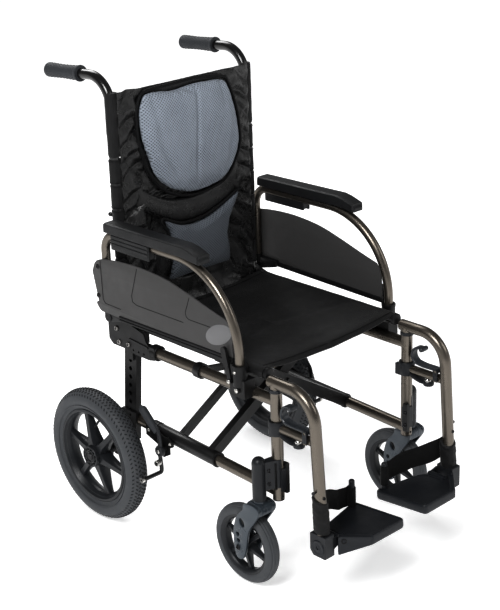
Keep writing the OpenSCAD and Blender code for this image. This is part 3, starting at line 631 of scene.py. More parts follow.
def rear_rim(name, side):
    rim = Shape()
    rim.revolve([(-20, 107), (-20, 111), (-17, 113.5), (-12, 112), (12, 112), (17, 113.5), (20, 111),
                 (20, 107), (18.5, 104.5), (9, 97.5), (3, 96), (-3, 96), (-9, 97.5), (-18.5, 104.5)], WHEEL,
                 "X", 128, closed=True)
    for s in (-1, 1):
        rim.revolve([(s * 18.5, 104.5), (s * 20, 105), (s * 20.6, 107.5), (s * 20.0, 109)], WHEEL, "X", 128,
                    closed=True)
    wheel_spokes(rim, WHEEL, 6, 20, 99, 20, 14, 34, 13, math.radians(12))
    for s in (-1, 1):
        rim.revolve([(0, 24.5), (s * 19, 24), (s * 24.5, 22.5), (s * 25.6, 20.5), (s * 25.6, 14.3),
                     (s * 16, 14.3), (0, 14.3)], WHEEL, "X", 64, closed=True)
    make(f"rear_wheel_moulding_{name}", rim, WHEEL_PLASTIC, f"rear_wheel_{name}", side,
         bevel=0.6, replaces=f"rear_wheel_{name}")
    cap = Shape()
    face = WHEEL + np.array([25.4, 0, 0])
    cap.revolve([(-6, 25.0), (0.4, 25.2), (1.6, 24.2), (1.6, 23.0), (0.2, 22.6), (0.2, 16.6), (1.6, 16.2),
                 (1.6, 14.4), (-6, 14.3)], face, "X", 72, closed=True)
    for t in turns(12):
        q = face + np.array([0.4, 19.6 * math.cos(t), 19.6 * math.sin(t)])
        cap.revolve([(-0.3, 0.02), (-0.3, 2.5), (0.5, 2.4), (0.5, 1.5), (0.1, 1.3), (0.1, 0.02)], q, "X",
                    10)
    cap.slot = 1
    cap.revolve([(-1, 14.2), (1.2, 13.8), (2.4, 12.0), (1.4, 10.8), (1.0, 8.4), (2.2, 7.6), (2.2, 0.02),
                 (-1, 0.02)],
                face, "X", 48)
    make(f"rear_hub_cap_{name}", cap, [WHEEL_PLASTIC, DARK_BOLT], f"rear_wheel_{name}", side)
    valve = Shape()
    t = math.radians(100)
    out = Vector((0, math.cos(t), math.sin(t)))
    base = Vector(WHEEL) + out * 97
    path = [base, base - out * 6 + Vector((3, 0, 0)), base - out * 12 + Vector((9, 0, 0)),
            base - out * 17 + Vector((12, 0, 0))]
    valve.tube(smooth_path(path, 4), lambda s: 3.0 - 0.6 * s, 12)
    valve.slot = 1
    valve.tube([path[-1] + out, path[-1] - out * 6 + Vector((3.6, 0, 0))], 2.9, 12)
    make(f"rear_valve_{name}", valve, [TREAD, BLACK_PLASTIC], f"rear_wheel_{name}", side)


# ------------------------------------------------------------------ casters

def caster_tyre(name, side):
    half = (CASTER_HI[0] - CASTER_LO[0]) / 2
    profile = []
    for i in range(49):
        a = -112 + 224 * i / 48
        t = math.radians(a)
        groove = 1.5 * (max(0, 1 - abs(abs(a) - 18) / 6) + max(0, 1 - abs(abs(a) - 42) / 6))
        r = half - 0.2 - groove
        profile.append((r * math.sin(t), CASTER_R - half + r * math.cos(t)))
    profile += [(11, CASTER_R - half - 7.5), (-11, CASTER_R - half - 7.5)]
    make(f"caster_tyre_grooved_{name}", Shape().revolve(profile, CASTER, "X", 112, closed=True), TYRE,
         f"caster_wheel_{name}", side, replaces=f"caster_tyre_{name}")


def caster_rim(name, side):
    rim = Shape()
    rim.revolve([(-13.5, 66), (-13.5, 70), (13.5, 70), (13.5, 66), (11.5, 62), (7, 58.5), (-7, 58.5),
                 (-11.5, 62)],
                CASTER, "X", 112, closed=True)
    wheel_spokes(rim, CASTER, 6, 12, 60, 11, 9, 22, 8, math.radians(20))
    rim.revolve([(-17.8, 5), (-17.8, 10), (-16, 13), (-10, 15.5), (10, 15.5), (16, 13), (17.8, 10),
                 (17.8, 5)],
                CASTER, "X", 48, closed=True)
    make(f"caster_wheel_moulding_{name}", rim, WHEEL_PLASTIC, f"caster_wheel_{name}", side,
         bevel=0.5, replaces=f"caster_wheel_{name}")


def caster_fork(name, side):
    """Cast fork: two curved cheeks that grow out of one rounded crown."""
    fork = Shape()
    ay, az = CASTER[1], CASTER[2]
    cheek = smooth_path([(STEM_Y - 19, 199, 0), (STEM_Y - 21, 186, 0), (STEM_Y - 10, 168, 0),
                         (ay - 34, 142, 0), (ay - 27, 118, 0), (ay - 21, 88, 0), (ay - 14, 69, 0),
                         (ay - 3, 62, 0), (ay + 8, 67, 0), (ay + 13, 84, 0), (ay + 15, 108, 0),
                         (ay + 13, 136, 0), (ay + 4, 162, 0), (STEM_Y + 27, 184, 0), (STEM_Y + 22, 199, 0),
                         (STEM_Y, 204, 0)], 5, True)
    outline = [(p.x, p.y) for p in cheek]
    window = oval(STEM_Y + 30, 152, 6.6, 10.2, 28, math.radians(-24))
    slots = [circle(ay + 1.5 * i, az + 16 + 15 * i, 4.6, 20) for i in (0, 1)]
    for s in (-1, 1):
        x = STEM_X + s * 22.5
        fork.plate(outline, [window] + slots, x - 3.5, x + 3.5, "YZ", 1.5)
        fork.revolve([(0, 8.5), (s * 3.9, 8.2), (s * 4.6, 7.2), (s * 4.6, 0.02), (0, 0.02)], (x, ay, az),
                     "X", 28)
        fork.bolt((x + s * 4.6, ay, az), "X", 6, 3, s, 1)
    crown = []
    for i in range(17):
        x = -24.8 + 49.6 * i / 16
        round_off = math.sqrt(max(0.0, 1 - (x / 26.2) ** 4))
        top = 184 + 21 * round_off
        wide = 0.8 + 0.2 * round_off
        crown.append([(STEM_X + x, STEM_Y + dy * wide, z) for dy, z in (
            (-21, 182), (-22, top - 10), (-18, top - 3), (-9, top), (10, top), (20, top - 3),
            (25, top - 10), (26, 182))])
    fork.rings(crown)
    fork.revolve([(196, 0.02), (196, 13), (207, 13), (208.6, 12), (208.6, 8.0), (259, 8.0), (259, 0.02)],
                 (STEM_X, STEM_Y, 0), "Z", 40)
    make(f"caster_fork_casting_{name}", fork, [FORK_PAINT, DARK_BOLT], f"caster_fork_{name}", side,
         bevel=0.5, replaces=f"caster_fork_{name}")


def housing_trim(name, side):
    """Adapter between the stem housing and the post, with its bolts."""
    trim = Shape()
    y = POST_Y
    trim.block((FRAME_X + 11.6, y - 9, 232), (FRAME_X + 15.6, y + 15, 292))
    trim.slab(rounded([(FRAME_X - 16.8, 218), (FRAME_X - 16.8, 286), (FRAME_X - 8, 286),
                       (FRAME_X - 8, 218)], 2),
              y - 16.2, y - 4, "XZ")
    trim.slot = 1
    for z in (246, 276):
        trim.bolt((STEM_X - 13, STEM_Y - 17.2, z), "Y", 5.4, 3.4, -1)
        trim.bolt((FRAME_X - 16.6, y - 10, z - 12), "X", 5, 3, -1)
        trim.bolt((FRAME_X, y - TUBE_R + 0.4, z - 34), "Y", 2.6, 1.6, -1)
    make(f"caster_adapter_{name}", trim, [BLACK_PLASTIC, DARK_BOLT], f"{name}_frame", side,
         bevel=0.7)
    plug = Shape()
    plug.revolve([(-2.2, 0.02), (-2.2, 12.3), (-0.4, 12.5), (1.5, 12.5), (1.5, 10), (9, 10), (9, 0.02)],
                 (FRAME_X, y, FRAME_LO[2]), "Z", 40)
    make(f"post_foot_plug_{name}", plug, BLACK_PLASTIC, f"{name}_frame", side)


# ------------------------------------------------------------------ push handles

def push_grip(name, side):
    """Rubber grip with a flared collar and rows of raised dots."""
    lo, hi = box("push_grip_left")
    fall = math.radians(3)
    along = Vector((0, math.cos(fall), -math.sin(fall)))
    end = Vector((CANE_X, hi[1], lo[2] + 16.0))
    length = 118
    start = end - along * length
    up = Vector((1, 0, 0)).cross(along).normalized()
    rings, around = [], 96
    for i in range(122):
        s = length * i / 121
        if s < 3:
            r = 17.5 + 0.5 * math.sin(s / 3 * math.pi / 2)
        elif s < 8:
            r = 18 - 1.1 * (s - 3) / 5
        elif s > length - 7:
            r = 16 * math.sqrt(max(0.0, 1 - ((s - length + 7) / 7.4) ** 2))
        else:
            r = 15.1 + 0.5 * math.cos((s - 8) / (length - 15) * 2 * math.pi)
        ring = []
        for j, t in enumerate(turns(around)):
            dots = 0.0
            if 12 < s < length - 10:
                row = (s - 12) / 5.6
                turn = j / around * 16 + 0.5 * (int(row) % 2)
                d2 = ((row % 1 - 0.5) * 5.6) ** 2 + ((turn % 1 - 0.5) * 6.0) ** 2
                dots = 0.9 * max(0.0, 1 - d2 / 4.0)
            q = r + dots
            ring.append(start + along * s + (Vector((1, 0, 0)) * math.cos(t) + up * math.sin(t)) * q)
        rings.append(ring)
    grip = Shape().rings(rings)
    make(f"push_grip_dotted_{name}", grip, GRIP, f"{name}_frame", side, angle=60,
         replaces=f"push_grip_{name}")
    stud = Shape()
    stud.revolve([(0, 0.02), (0, 4.2), (1.5, 4.4), (1.5, 2.4), (12, 2.3), (13, 3.4), (14.5, 4.6), (17, 5.1),
                  (19.5, 4.2), (20.6, 2.2), (20.8, 0.02)], (CANE_X, CANE_Y + CANE_R - 1, 712), "Y", 24)
    make(f"back_stop_stud_{name}", stud, DARK_BOLT, f"{name}_frame", side)


# ------------------------------------------------------------------ armrests

def armrest_pad(name, side):
    """Hard angular pad: flat top, chamfered edges, nose sloping down to the front."""
    x0, x1 = PAD_LO[0], PAD_HI[0]
    y_rear, y_nose = PAD_HI[1], PAD_LO[1]
    stations = ((y_rear, 711.0, 694.5, 3.0), (y_rear - 4, 713.0, 692.5, 0.0), (150, 713.8, 692.3, 0.0),
                (60, 714.8, 692.3, 0.0), (-30, 716, 692.3, 0.0), (-48, 712.6, 690.2, 0.4),
                (-78, 703.6, 686.6, 1.6), (y_nose + 5, 698.5, 685.0, 3.6), (y_nose, 693.5, 685.6, 6.0))
    rings = []
    for y, top, bottom, tuck in stations:
        a, b = x0 + tuck, x1 - tuck
        rings.append([(a, y, bottom), (b, y, bottom), (b, y, (top + bottom) / 2), (b - 0.6, y, top - 2.2),
                      (b - 5, y, top), ((a + b) / 2, y, top + 0.25), (a + 5, y, top),
                      (a + 0.6, y, top - 2.2), (a, y, (top + bottom) / 2)])
    pad = Shape().rings(rings)
    make(f"armrest_pad_moulding_{name}", pad, PAD_PLASTIC, f"armrest_{name}", side,
         bevel=1.1, segments=3, angle=25, replaces=f"armrest_pad_{name}")
    under = Shape()
    under.plate(rounded([(80, 691.5), (206, 691.5), (206, 656), (80, 656)], 2.5), [], 221, 224, "YZ", 0.8)
    for y in (82, 190):
        under.block((223, y, 658), (240, y + 14, 691.5))
    under.plate(rounded([(80, 692), (206, 692), (206, 655), (80, 655)], 2.5), [], 238.5, 242.5, "YZ", 0.8)
    for z in (663.5, 672.5, 681.5):
        under.block((242.3, 82, z), (244.0, 204, z + 6.5))
    make(f"armrest_ribbed_box_{name}", under, PAD_PLASTIC, f"armrest_{name}", side,
         bevel=0.7)


def skirt_point(y, z, t):
    """A point of the skirt's plane, which turns outwards to the rear, with t along its normal."""
    turn = math.radians(1.93)
    d = y + 155
    return (ARM_X - 1 + d * math.sin(turn) + t * math.cos(turn),
            -155 + d * math.cos(turn) - t * math.sin(turn), z)


def on_skirt(shape):
    shape.v = [skirt_point(y, z, x) for x, y, z in shape.v]
    return shape


def side_panel(name, side):
    body = f"armrest_{name}"
    top = smooth_path([(278, 590, 0), (262, 617, 0), (221, 627, 0), (159, 632, 0), (106, 631.5, 0),
                       (42, 625, 0), (-17, 611, 0), (-90, 590, 0), (-137, 577.5, 0)], 5)
    outline = [(p.x, p.y) for p in top] + rounded(
        [(-147, 571), (-152, 552), (-154, 497), (200, 498), (258, 500), (276, 520)],
        [6, 4, 2, 2, 14, 14])[1:]
    bolts = [(258, 604), (262, 536)]
    panel = on_skirt(Shape().plate(outline, [], -2, 2, "YZ", 1.0))
    make(f"skirt_panel_{name}", panel, PANEL_GREY, body, side, replaces=f"side_panel_{name}")
    # Thin near-black tubes along the skirt: painted shade of its moulded grooves
    lines = Shape()
    for path in ([(249, 620), (247, 530), (240, 522), (190, 520)],
                 [(128, 628), (150, 562), (148, 548), (136, 543), (-10, 541)],
                 [(-32, 602), (-18, 566), (-20, 556), (-28, 552), (-98, 551)]):
        curve = smooth_path([(2.1, y, z) for y, z in path], 1)
        lines.tube(curve, 0.75, 8)
    make(f"skirt_embossed_lines_{name}", on_skirt(lines), GROOVE_SHADE, body, side)
    badge = on_skirt(Shape().plate(oval(-115, 541, 41, 21, 48, math.radians(-26)), [], 1.9, 2.8, "YZ",
                                   0.35))
    make(f"blank_badge_{name}", badge, BADGE, body, side)
    heads = Shape()
    for y, z in bolts:
        heads.bolt((2, y, z), "X", 5.6, 2.4)
    make(f"skirt_bolts_{name}", on_skirt(heads), DARK_BOLT, body, side)
    rail = Shape()
    profile = [(-4.6, 0), (4.6, 0), (4.6, 3.6), (2.6, 4.2), (2.6, 6.4), (4.6, 7.0), (4.6, 9.6), (3.4, 11.4),
               (-3.4, 11.4), (-4.6, 9.6)]
    rail.rings([[(x, y, z0 + z) for x, z in profile] for y, z0 in ((-154, 489.6), (195, 492.2))])
    make(f"skirt_rail_{name}", on_skirt(rail), BLACK_PLASTIC, body, side, bevel=0.5)
    lug = Shape()
    lug.plate(rounded([(180, 508), (180, 493), (226, 481), (246, 484), (252, 508)], [2, 3, 9, 9, 3]),
              [circle(*ARM_PIVOT, 4.4)], ARM_X - 3, ARM_X + 12, "YZ", 1.2)
    lug.revolve([(ARM_X - 4, 4.4), (ARM_X - 4, 10), (ARM_X + 13, 11), (ARM_X + 14, 10), (ARM_X + 14, 4.4)],
                (0, *ARM_PIVOT), "X", 32, closed=True)
    lug.revolve([(497, 0.02), (497, 10.4), (514, 10.8), (515.5, 10), (515.5, 0.02)],
                (ARM_X, ARM_HI[1] - 10, 0), "Z", 32)
    make(f"armrest_hinge_lug_{name}", lug, BLACK_PLASTIC, body, side, bevel=0.5)


def socket_trim(name, side):
    trim = Shape()
    trim.revolve([(470, 10.7), (470, 15), (484, 15.4), (488, 16.2), (491, 15.6), (491, 10.7)],
                 (ARM_X, ARM_FRONT_Y, 0), "Z", 40, closed=True)
    trim.slot = 1
    trim.bolt((240, ARM_FRONT_Y, RAIL_Z + 12), "X", 5.2, 2.6)
    trim.bolt((ARM_X + 15.4, ARM_FRONT_Y, 478), "X", 3.4, 1.8)
    trim.bolt((244, ARM_FRONT_Y + 18, 453), "X", 4.6, 2.4)
    make(f"armrest_socket_trim_{name}", trim, [BLACK_PLASTIC, ZINC], f"{name}_frame", side)


# ------------------------------------------------------------------ rear bracket, brake and frame trim

def bracket_trim(name, side):
    trim = Shape()
    for y, z in ((239, 456), (232, 425), (200, 427)):
        trim.bolt((BRACKET_FACE, y, z), "X", 6.2, 4)
    trim.bolt((BRACKET_FACE, *ARM_PIVOT), "X", 3.6, 2.2)
    for y, z in ((222, 232), (234, 212)):
        trim.bolt((218, y, z), "X", 5.5, 3.5)
    trim.slot = 1
    trim.slab(rounded([(196, 444), (196, 439), (132, 434), (132, 439)], 1.5), 217, 219.5, "YZ")
    trim.revolve([(110.5, 12.6), (110.5, 16.4), (112, 17.6), (129, 17.6), (130.5, 16.4), (130.5, 12.6)],
                 (FRAME_X, 0, RAIL_Z), "Y", 44, closed=True)
    make(f"rear_bracket_trim_{name}", trim, [DARK_ZINC, BLACK_PLASTIC], f"{name}_frame", side,
         bevel=0.6)
    plugs = Shape()
    end = FRAME_HI[1]
    plugs.revolve([(end - 6, 0.02), (end - 6, 10.4), (end - 0.2, 10.4), (end - 0.2, 12.5),
                   (end + 1.6, 12.2), (end + 2.2, 10), (end + 2.2, 0.02)], (FRAME_X, 0, RAIL_Z), "Y", 40)
    low_end = 206
    z = LOW_Z + low_end * math.tan(LOW_TILT)
    plugs.revolve([(low_end - 6, 0.02), (low_end - 6, 10.4), (low_end, 10.4), (low_end, 12.5),
                   (low_end + 2, 12.2), (low_end + 2.8, 10), (low_end + 2.8, 0.02)], (FRAME_X, 0, z), "Y",
                   40)
    make(f"rail_end_plugs_{name}", plugs, BLACK_PLASTIC, f"{name}_frame", side)
    foot = Shape()
    foot.revolve([(409, 0.02), (409, 10.8), (414, 11.2), (433, 11.2), (433, 0.02)], (CANE_X, CANE_Y, 0),
                 "Z", 40)
    make(f"cane_foot_{name}", foot, BLACK_PLASTIC, f"{name}_frame", side)


def brake(name, side):
    """Lever with its rubber grip, the pivot boss, and the toggle that pushes the shoe."""
    bx = BRAKE_X
    lever = Shape(1)
    lever.revolve([(-3, 4.2), (-3, 11.8), (-1, 13), (4, 13), (6.5, 11.5), (7.2, 8), (7.2, 4.2)],
                  (bx, *BRAKE_PIVOT), "X", 36, closed=True)
    arm = smooth_path([(bx + 1.5, 84.7, 216), (bx + 1.5, 84, 236), (bx + 1.5, 87, 254),
                       (bx + 1.5, 99, 268)], 6)
    lever.tube(arm, 6.2, 14, flat=(0.55, 1))
    lever.slot = 0
    d = Vector((0, math.cos(math.radians(43)), math.sin(math.radians(43))))
    base = Vector((bx + 1.5, 86, 250))

    def swell(s):
        if s < 0.92:
            return 7.0 + 2.2 * math.sin(min(1, s * 2.2) * math.pi / 2)
        return 9.2 - 2.2 * (s - 0.92) / 0.08

    lever.tube([base + d * (8 + 66 * i / 30) for i in range(31)], swell, 24)
    lever.tube([base + d * (72 + 6 * i / 6) for i in range(7)], lambda s: 4.6 - 1.2 * s, 16)
    lever.slot = 2
    lever.bolt((bx + 7, *BRAKE_PIVOT), "X", 4.6, 2.6)
    make(f"brake_lever_grip_{name}", lever, [GRIP, DARK_PLASTIC, ZINC], f"brake_lever_{name}", side,
         replaces=f"brake_lever_{name}")
    shoe = Shape()
    shoe.revolve([(-6.5, 3.1), (-6.5, 7), (-1, 7), (-1, 3.1)], (bx - 6, *SHOE_PIVOT), "X", 28, closed=True)
    shoe.tube(smooth_path([(bx - 9.5, 101, 199), (bx - 9.5, 98, 178), (bx - 9.5, 96.5, 160),
                           (bx - 8, 97, 153), (bx - 1, 97, 152), (bx + 10, 97, 152), (285, 97, 152)], 6),
                           4.6, 16)
    shoe.slot = 1
    shoe.revolve([(0, 4.8), (0, 5.4), (-7, 5.4), (-7, 4.8)], (287.5, 97, 152), "X", 24, closed=True)
    shoe.revolve([(-5, 0.02), (-5, 6.2), (-3, 7.2), (5, 7.2), (7, 6), (7, 0.02)], (bx - 3, 99, 176), "X",
                 24)
    make(f"brake_shoe_bar_{name}", shoe, [BLACK_SATIN, ZINC], f"brake_shoe_{name}", side,
         replaces=f"brake_shoe_{name}")
    clamp = Shape()
    clamp.slab(rounded([(60, 232), (60, 222), (76, 214), (92, 220), (92, 236), (76, 240)], 3), 219.5, 223.4,
               "YZ")
    clamp.slot = 1
    clamp.bolt((223.5, 68, 228), "X", 4, 3)
    clamp.bolt((223.5, 140, 240), "X", 4.4, 3)
    make(f"brake_clamp_{name}", clamp, [BLACK_PLASTIC, ZINC], f"{name}_frame", side,
         bevel=0.6)


# ------------------------------------------------------------------ legrests

def hook_lever(name, side):
    """Curled strip that frees the legrest, with a round finger knob."""
    lever = Shape()
    line = [(-338, 387), (-324, 387.2), (-308, 386.8), (-296, 387)]
    line += [(y, z) for y, z in arc_path(-287, 406.5, 18.5, -72, 112, 18)]
    half = 10.5
    rings = []
    path = smooth_path([(0, y, z) for y, z in line], 3)
    for i, p in enumerate(path):
        a, b = path[max(0, i - 1)], path[min(len(path) - 1, i + 1)]
        t = (b - a).normalized()
        up = Vector((0, -t.z, t.y))
        s = i / (len(path) - 1)
        w = half * (0.8 + 0.2 * math.sin(math.pi * min(1, 0.25 + s)))
        h = 2.7
        rings.append([Vector((FRAME_X + x * w, p.y, p.z)) + up * z * h for x, z in (
            (-1, -0.5), (-0.85, -1), (0.85, -1), (1, -0.5), (1, 0.5), (0.85, 1), (0.4, 0.72), (-0.4, 0.72),
            (-0.85, 1), (-1, 0.5))])
    lever.rings(rings)
    knob = path[-1]
    lever.revolve([(-12, 0.02), (-12, 3.2), (-10.5, 4.9), (-6, 5.6), (6, 5.6), (10.5, 4.9), (12, 3.2),
                   (12, 0.02)],
                  (FRAME_X, knob.y - 1, knob.z), "X", 28)
    lever.revolve([(-9.4, 2.6), (-9.4, 5.4), (9.4, 5.4), (9.4, 2.6)], (FRAME_X, *HOOK_PIVOT), "X", 28,
                  closed=True)
    make(f"hook_lever_{name}", lever, LEVER, f"legrest_lever_{name}", side, bevel=0.4,
         replaces=f"legrest_lever_{name}")


def legrest_trim(name, side):
    body = f"legrest_{name}"
    trim = Shape()
    # Collar round the post and the latch tongue below the strut
    trim.revolve([(352, 12.9), (352, 17), (353.5, 17.9), (381, 17.9), (382.5, 17), (382.5, 12.9)],
                 (FRAME_X, POST_Y, 0), "Z", 44, closed=True)
    tongue = smooth_path([(FRAME_X, POST_Y - 14, 357), (FRAME_X, POST_Y - 28, 352),
                          (FRAME_X, POST_Y - 46, 348), (FRAME_X, POST_Y - 60, 348)], 6)
    trim.tube(tongue, lambda s: 10.5 + 1.5 * math.sin(math.pi * s), 16, flat=(1, 0.36))
    trim.revolve([(343, 0.02), (343, 11.5), (346, 12.4), (349, 12.4), (351.6, 11.2), (351.6, 0.02)],
                 (FRAME_X, POST_Y - 62, 0), "Z", 32)
    trim.block((FRAME_X - 17, POST_Y + 6, 352), (FRAME_X - 8, POST_Y + 19, 378))
    trim.slot = 1
    dome = [(351.6, 7.4)] + [(351.6 + 7.6 * math.sin(math.radians(a)), 7.4 * math.cos(math.radians(a)))
                             for a in range(15, 86, 14)] + [(359.3, 0.02), (351.6, 0.02)]
    trim.revolve(dome, (FRAME_X, POST_Y - 60, 0), "Z", 32)
    trim.slot = 2
    # Cap of the tube over the post, screw and stud near the leg's lower end
    rear = -233.5
    trim.revolve([(rear - 5, 0.02), (rear - 5, 10.6), (rear, 10.6), (rear, 12.5), (rear + 1.6, 12.3),
                  (rear + 2.4, 10.8), (rear + 2.4, 0.02)], (FRAME_X, 0, 464.5), "Y", 40)
    trim.slot = 0
    trim.revolve([(445.6, 12.8), (445.6, 14.4), (446.6, 15), (452.4, 15), (453.4, 14.2), (453.4, 12.8)],
                 (FRAME_X, POST_Y, 0), "Z", 44, closed=True)
    for s in (-1, 1):
        x = FRAME_X + s * 12
        trim.plate(rounded([(-343.8, 391.8), (-332.2, 391.8), (-332.2, 364), (-343.8, 364)], [5, 5, 2, 2]),
                   [circle(*HOOK_PIVOT, 2.9)], x - 2.2, x + 2.2, "YZ", 0.8)
    leg = HANGER_LO[1] + TUBE_R + 6
    trim.slot = 3
    trim.bolt((FRAME_X + 1.5, leg - TUBE_R - 0.4, 252), "Y", 3.6, 2.4, -1)
    trim.slot = 4
    trim.tube([(FRAME_X + 11, leg + 0.5, 265), (FRAME_X + 19, leg + 0.5, 265)], 2.4, 12)
    trim.revolve([(0, 0.02), (0, 3.6), (2.6, 3.6), (3.8, 2.4), (3.8, 0.02)],
                 (FRAME_X + 17.5, leg + 0.5, 265), "X", 16)
    make(f"legrest_fittings_{name}", trim, [DARK_PLASTIC, BRIGHT, BRONZE, DARK_BOLT, DARK_BOLT], body, side,
         bevel=0.4)


def foot_block(name, side):
    """Block at the leg's lower end with the two cheeks and the round hinge cover."""
    block = Shape()
    block.slab(rounded([(-391, 170), (-391, 120), (-357, 120), (-348, 131), (-348, 170)], [3, 3, 3, 4, 3]),
               188.5, 215)
    for y in (-391, -349):
        block.slab(rounded([(192, 162), (192, 134), (172, 142.5), (163.5, 147), (163.5, 154), (170, 157.5)],
                           [2, 2, 3, 3, 3, 3]), y, y + 5, "XZ")
    pin = [(-394.5, 0.02), (-394.5, 6), (-393, 7), (-391, 7.2), (-391, 3.9), (-344, 3.9), (-344, 7.2),
           (-342, 7), (-340, 5.5), (-340, 0.02)]
    block.revolve(pin, PLATE_PIVOT, "Y", 28)
    block.slot = 1
    block.revolve([(-2, 0.02), (-2, 17.4), (2.0, 17.4), (3.6, 16), (3.6, 13), (3.0, 12.2), (3.0, 5.2),
                   (3.4, 4.6), (3.4, 3.4), (0.8, 3.0), (0.8, 0.02)], (213.4, -370, 141), "X", 56)
    make(f"foot_hinge_block_{name}", block, [DARK_PLASTIC, FOOT_PLASTIC], f"legrest_{name}", side,
         bevel=0.9, replaces=f"footrest_block_{name}")


def footplate(name, side):
    """Moulded plate with a thick rounded rim, a shallow tread recess and a raised outer corner."""
    x0 = PLATE_LO[0]
    y_front, y_rear = PLATE_LO[1], -304
    pitch = math.radians(5.4)
    plan = rounded([(x0, y_rear), (x0, -446), (130, -446), (183, -399), (161, -394), (161, -340),
                    (146, -330)],
                   [10, 9, 9, 5, 3, 5, 12], 7)
    plate = Shape()

    def lay(points, z):
        return [(x, y_rear + (y - y_rear) * math.cos(pitch) + (z - 129) * math.sin(pitch),
                 z - (y - y_rear) * math.sin(pitch)) for x, y in points]

    cx = sum(p[0] for p in plan) / len(plan)
    cy = sum(p[1] for p in plan) / len(plan)

    def inset(d):
        out = []
        for x, y in plan:
            r = math.hypot(x - cx, y - cy)
            out.append((x + (cx - x) / r * d, y + (cy - y) / r * d))
        return out

    layers = [(7, 128.6), (2.2, 129), (0.6, 131), (0, 135), (0, 144), (0.8, 147.4), (2.6, 149),
              (5.6, 149.2), (7.2, 148.4), (8.4, 147.6), (16, 147.6)]
    plate.rings([lay(inset(d), z) for d, z in layers])
    # Wedge below the slanted edge, with its blind hole
    start, stop = Vector((184, -397)), Vector((131, y_front + 0.8))
    run = (stop - start).normalized()
    inwards = Vector((-run.y, run.x)) if run.y * start.x < 0 else Vector((run.y, -run.x))
    inwards = inwards if inwards.y > 0 else -inwards
    wedge = Shape()
    face = rounded([(0, 121), (0, 163), (6, 164), (68, 161), (71, 143)], [2.5, 3, 4, 3, 2], 4)
    wedge.plate(face, [circle(12, 153, 4.1)], 0.0, 11.5, "YZ", 1.2)
    ring = [(-0.7, 4.2), (-0.7, 5.6), (0.3, 5.9), (0.6, 5.0), (0.6, 4.2)]
    wedge.slot = 1
    wedge.revolve(ring, (0, 12, 153), "X", 28, closed=True)
    plate.add([(start.x + run.x * u + inwards.x * t, start.y + run.y * u + inwards.y * t, z)
               for t, u, z in wedge.v], wedge.f)
    plate.m[-len(wedge.m):] = wedge.m
    plate.revolve([(-386, 4.2), (-386, 8), (-350, 8), (-350, 4.2)], PLATE_PIVOT, "Y", 28, closed=True)
    plate.block((154, -385, 132), (169, -351, 146))
    # Heel post, and a thin black disc that is painted shade for a small drain hole
    plate.revolve([(141, 0.02), (141, 9), (146, 8.2), (158, 7), (206, 6.5), (210, 6.2), (211.6, 4.8),
                   (211.8, 0.02)],
                  (HEEL_X, HEEL_Y, 0), "Z", 28)
    # Painted shade: a flat black disc stands where the drain hole's inside would be dark
    plate.slot = 1
    plate.revolve([(0, 0.02), (0, 2.2), (0.25, 2.2), (0.25, 0.02)], (118, -424, 158.4), "Z", 14)
    make(f"footplate_moulding_{name}", plate, [FOOT_PLASTIC, BLACK_PLASTIC], f"footplate_{name}", side,
         bevel=0.5, replaces=f"footplate_{name}")


def heel_strap(name, side):
    """Wide webbing from the leg to the heel post, and the wrap round the leg."""
    rise = 8 if side < 0 else 0
    ends = ((201, -351.6, 208 + rise * 3.2, 48), (190, -349, 206 + rise * 2.8, 48),
            (160, -338, 199 + rise * 1.6, 49), (125, -320, 194 + rise * 0.4, 47),
            (90, -310, 186 - rise, 47), (66, -308, 183 - rise * 1.2, 47),
            (52, -305.5, 182 - rise * 1.2, 47))
    path = smooth_path([(x, y, z) for x, y, z, _ in ends], 8)
    height = smooth_path([(h, 0, 0) for *_, h in ends], 8)
    rings = []
    for i, (p, h) in enumerate(zip(path, height)):
        a, b = path[max(0, i - 1)], path[min(len(path) - 1, i + 1)]
        t = (b - a)
        out = Vector((t.y, -t.x, 0)).normalized()
        ring = []
        for k in range(15):
            s = k / 14 - 0.5
            wave = 1.3 * math.sin(i * 0.42 + 1.5 * s + side) * math.sin(math.pi * i / len(path))
            ring.append(p + Vector((0, 0, h.x * s)) + out * (1.5 * wave + 2.2 * (0.25 - s * s)))
        rings.append([q + out * 0.9 for q in ring] + [q - out * 0.9 for q in reversed(ring)])
    strap = Shape().rings(rings)
    ob = make(f"heel_strap_webbing_{name}", strap, STRAP, None, side, angle=70,
              replaces=f"heel_strap_{name}")
    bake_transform(ob)
    loop = Shape()
    base = 182 - rise * 1.2
    loop.rings([[(x, y, base + z) for x, y in circle(HEEL_X, HEEL_Y, r)] for r, z in
                ((7.4, -23), (8.6, -22), (8.9, -10), (8.7, 8), (8.6, 21), (7.2, 22))])
    make(f"heel_strap_loop_{name}", loop, STRAP, f"footplate_{name}", side)
    wrap = Shape()
    rings = []
    count = 44
    low, high = (172, 244) if side < 0 else (170, 226)
    for i in range(25):
        z = low + (high - low) * i / 24
        y_leg = HANGER_LO[1] + TUBE_R + 1 + (z - 166) * math.tan(math.radians(3.8))
        ring = []
        for j, t in enumerate(turns(count)):
            wrinkle = 1.1 * noise.noise(Vector((2.2 * math.cos(t), 2.2 * math.sin(t), z * 0.07)))
            wrinkle += 1.3 * noise.noise(Vector((math.cos(t), math.sin(t), z * 0.24 + 1.6 * math.cos(t))))
            r = 16.2 + wrinkle + (1.4 if 10 < j < 22 else 0) - (0.8 if i in (0, 24) else 0)
            slant = (5 * math.cos(t) + 5 * math.sin(t)) * (0.4 + 0.6 * i / 24)
            ring.append((FRAME_X + r * math.cos(t), y_leg + r * 1.04 * math.sin(t), z + slant))
        rings.append(ring)
    wrap.rings(rings)
    make(f"leg_strap_wrap_{name}", wrap, STRAP_WRAP, f"legrest_{name}", side, angle=60)


# ------------------------------------------------------------------ upholstery

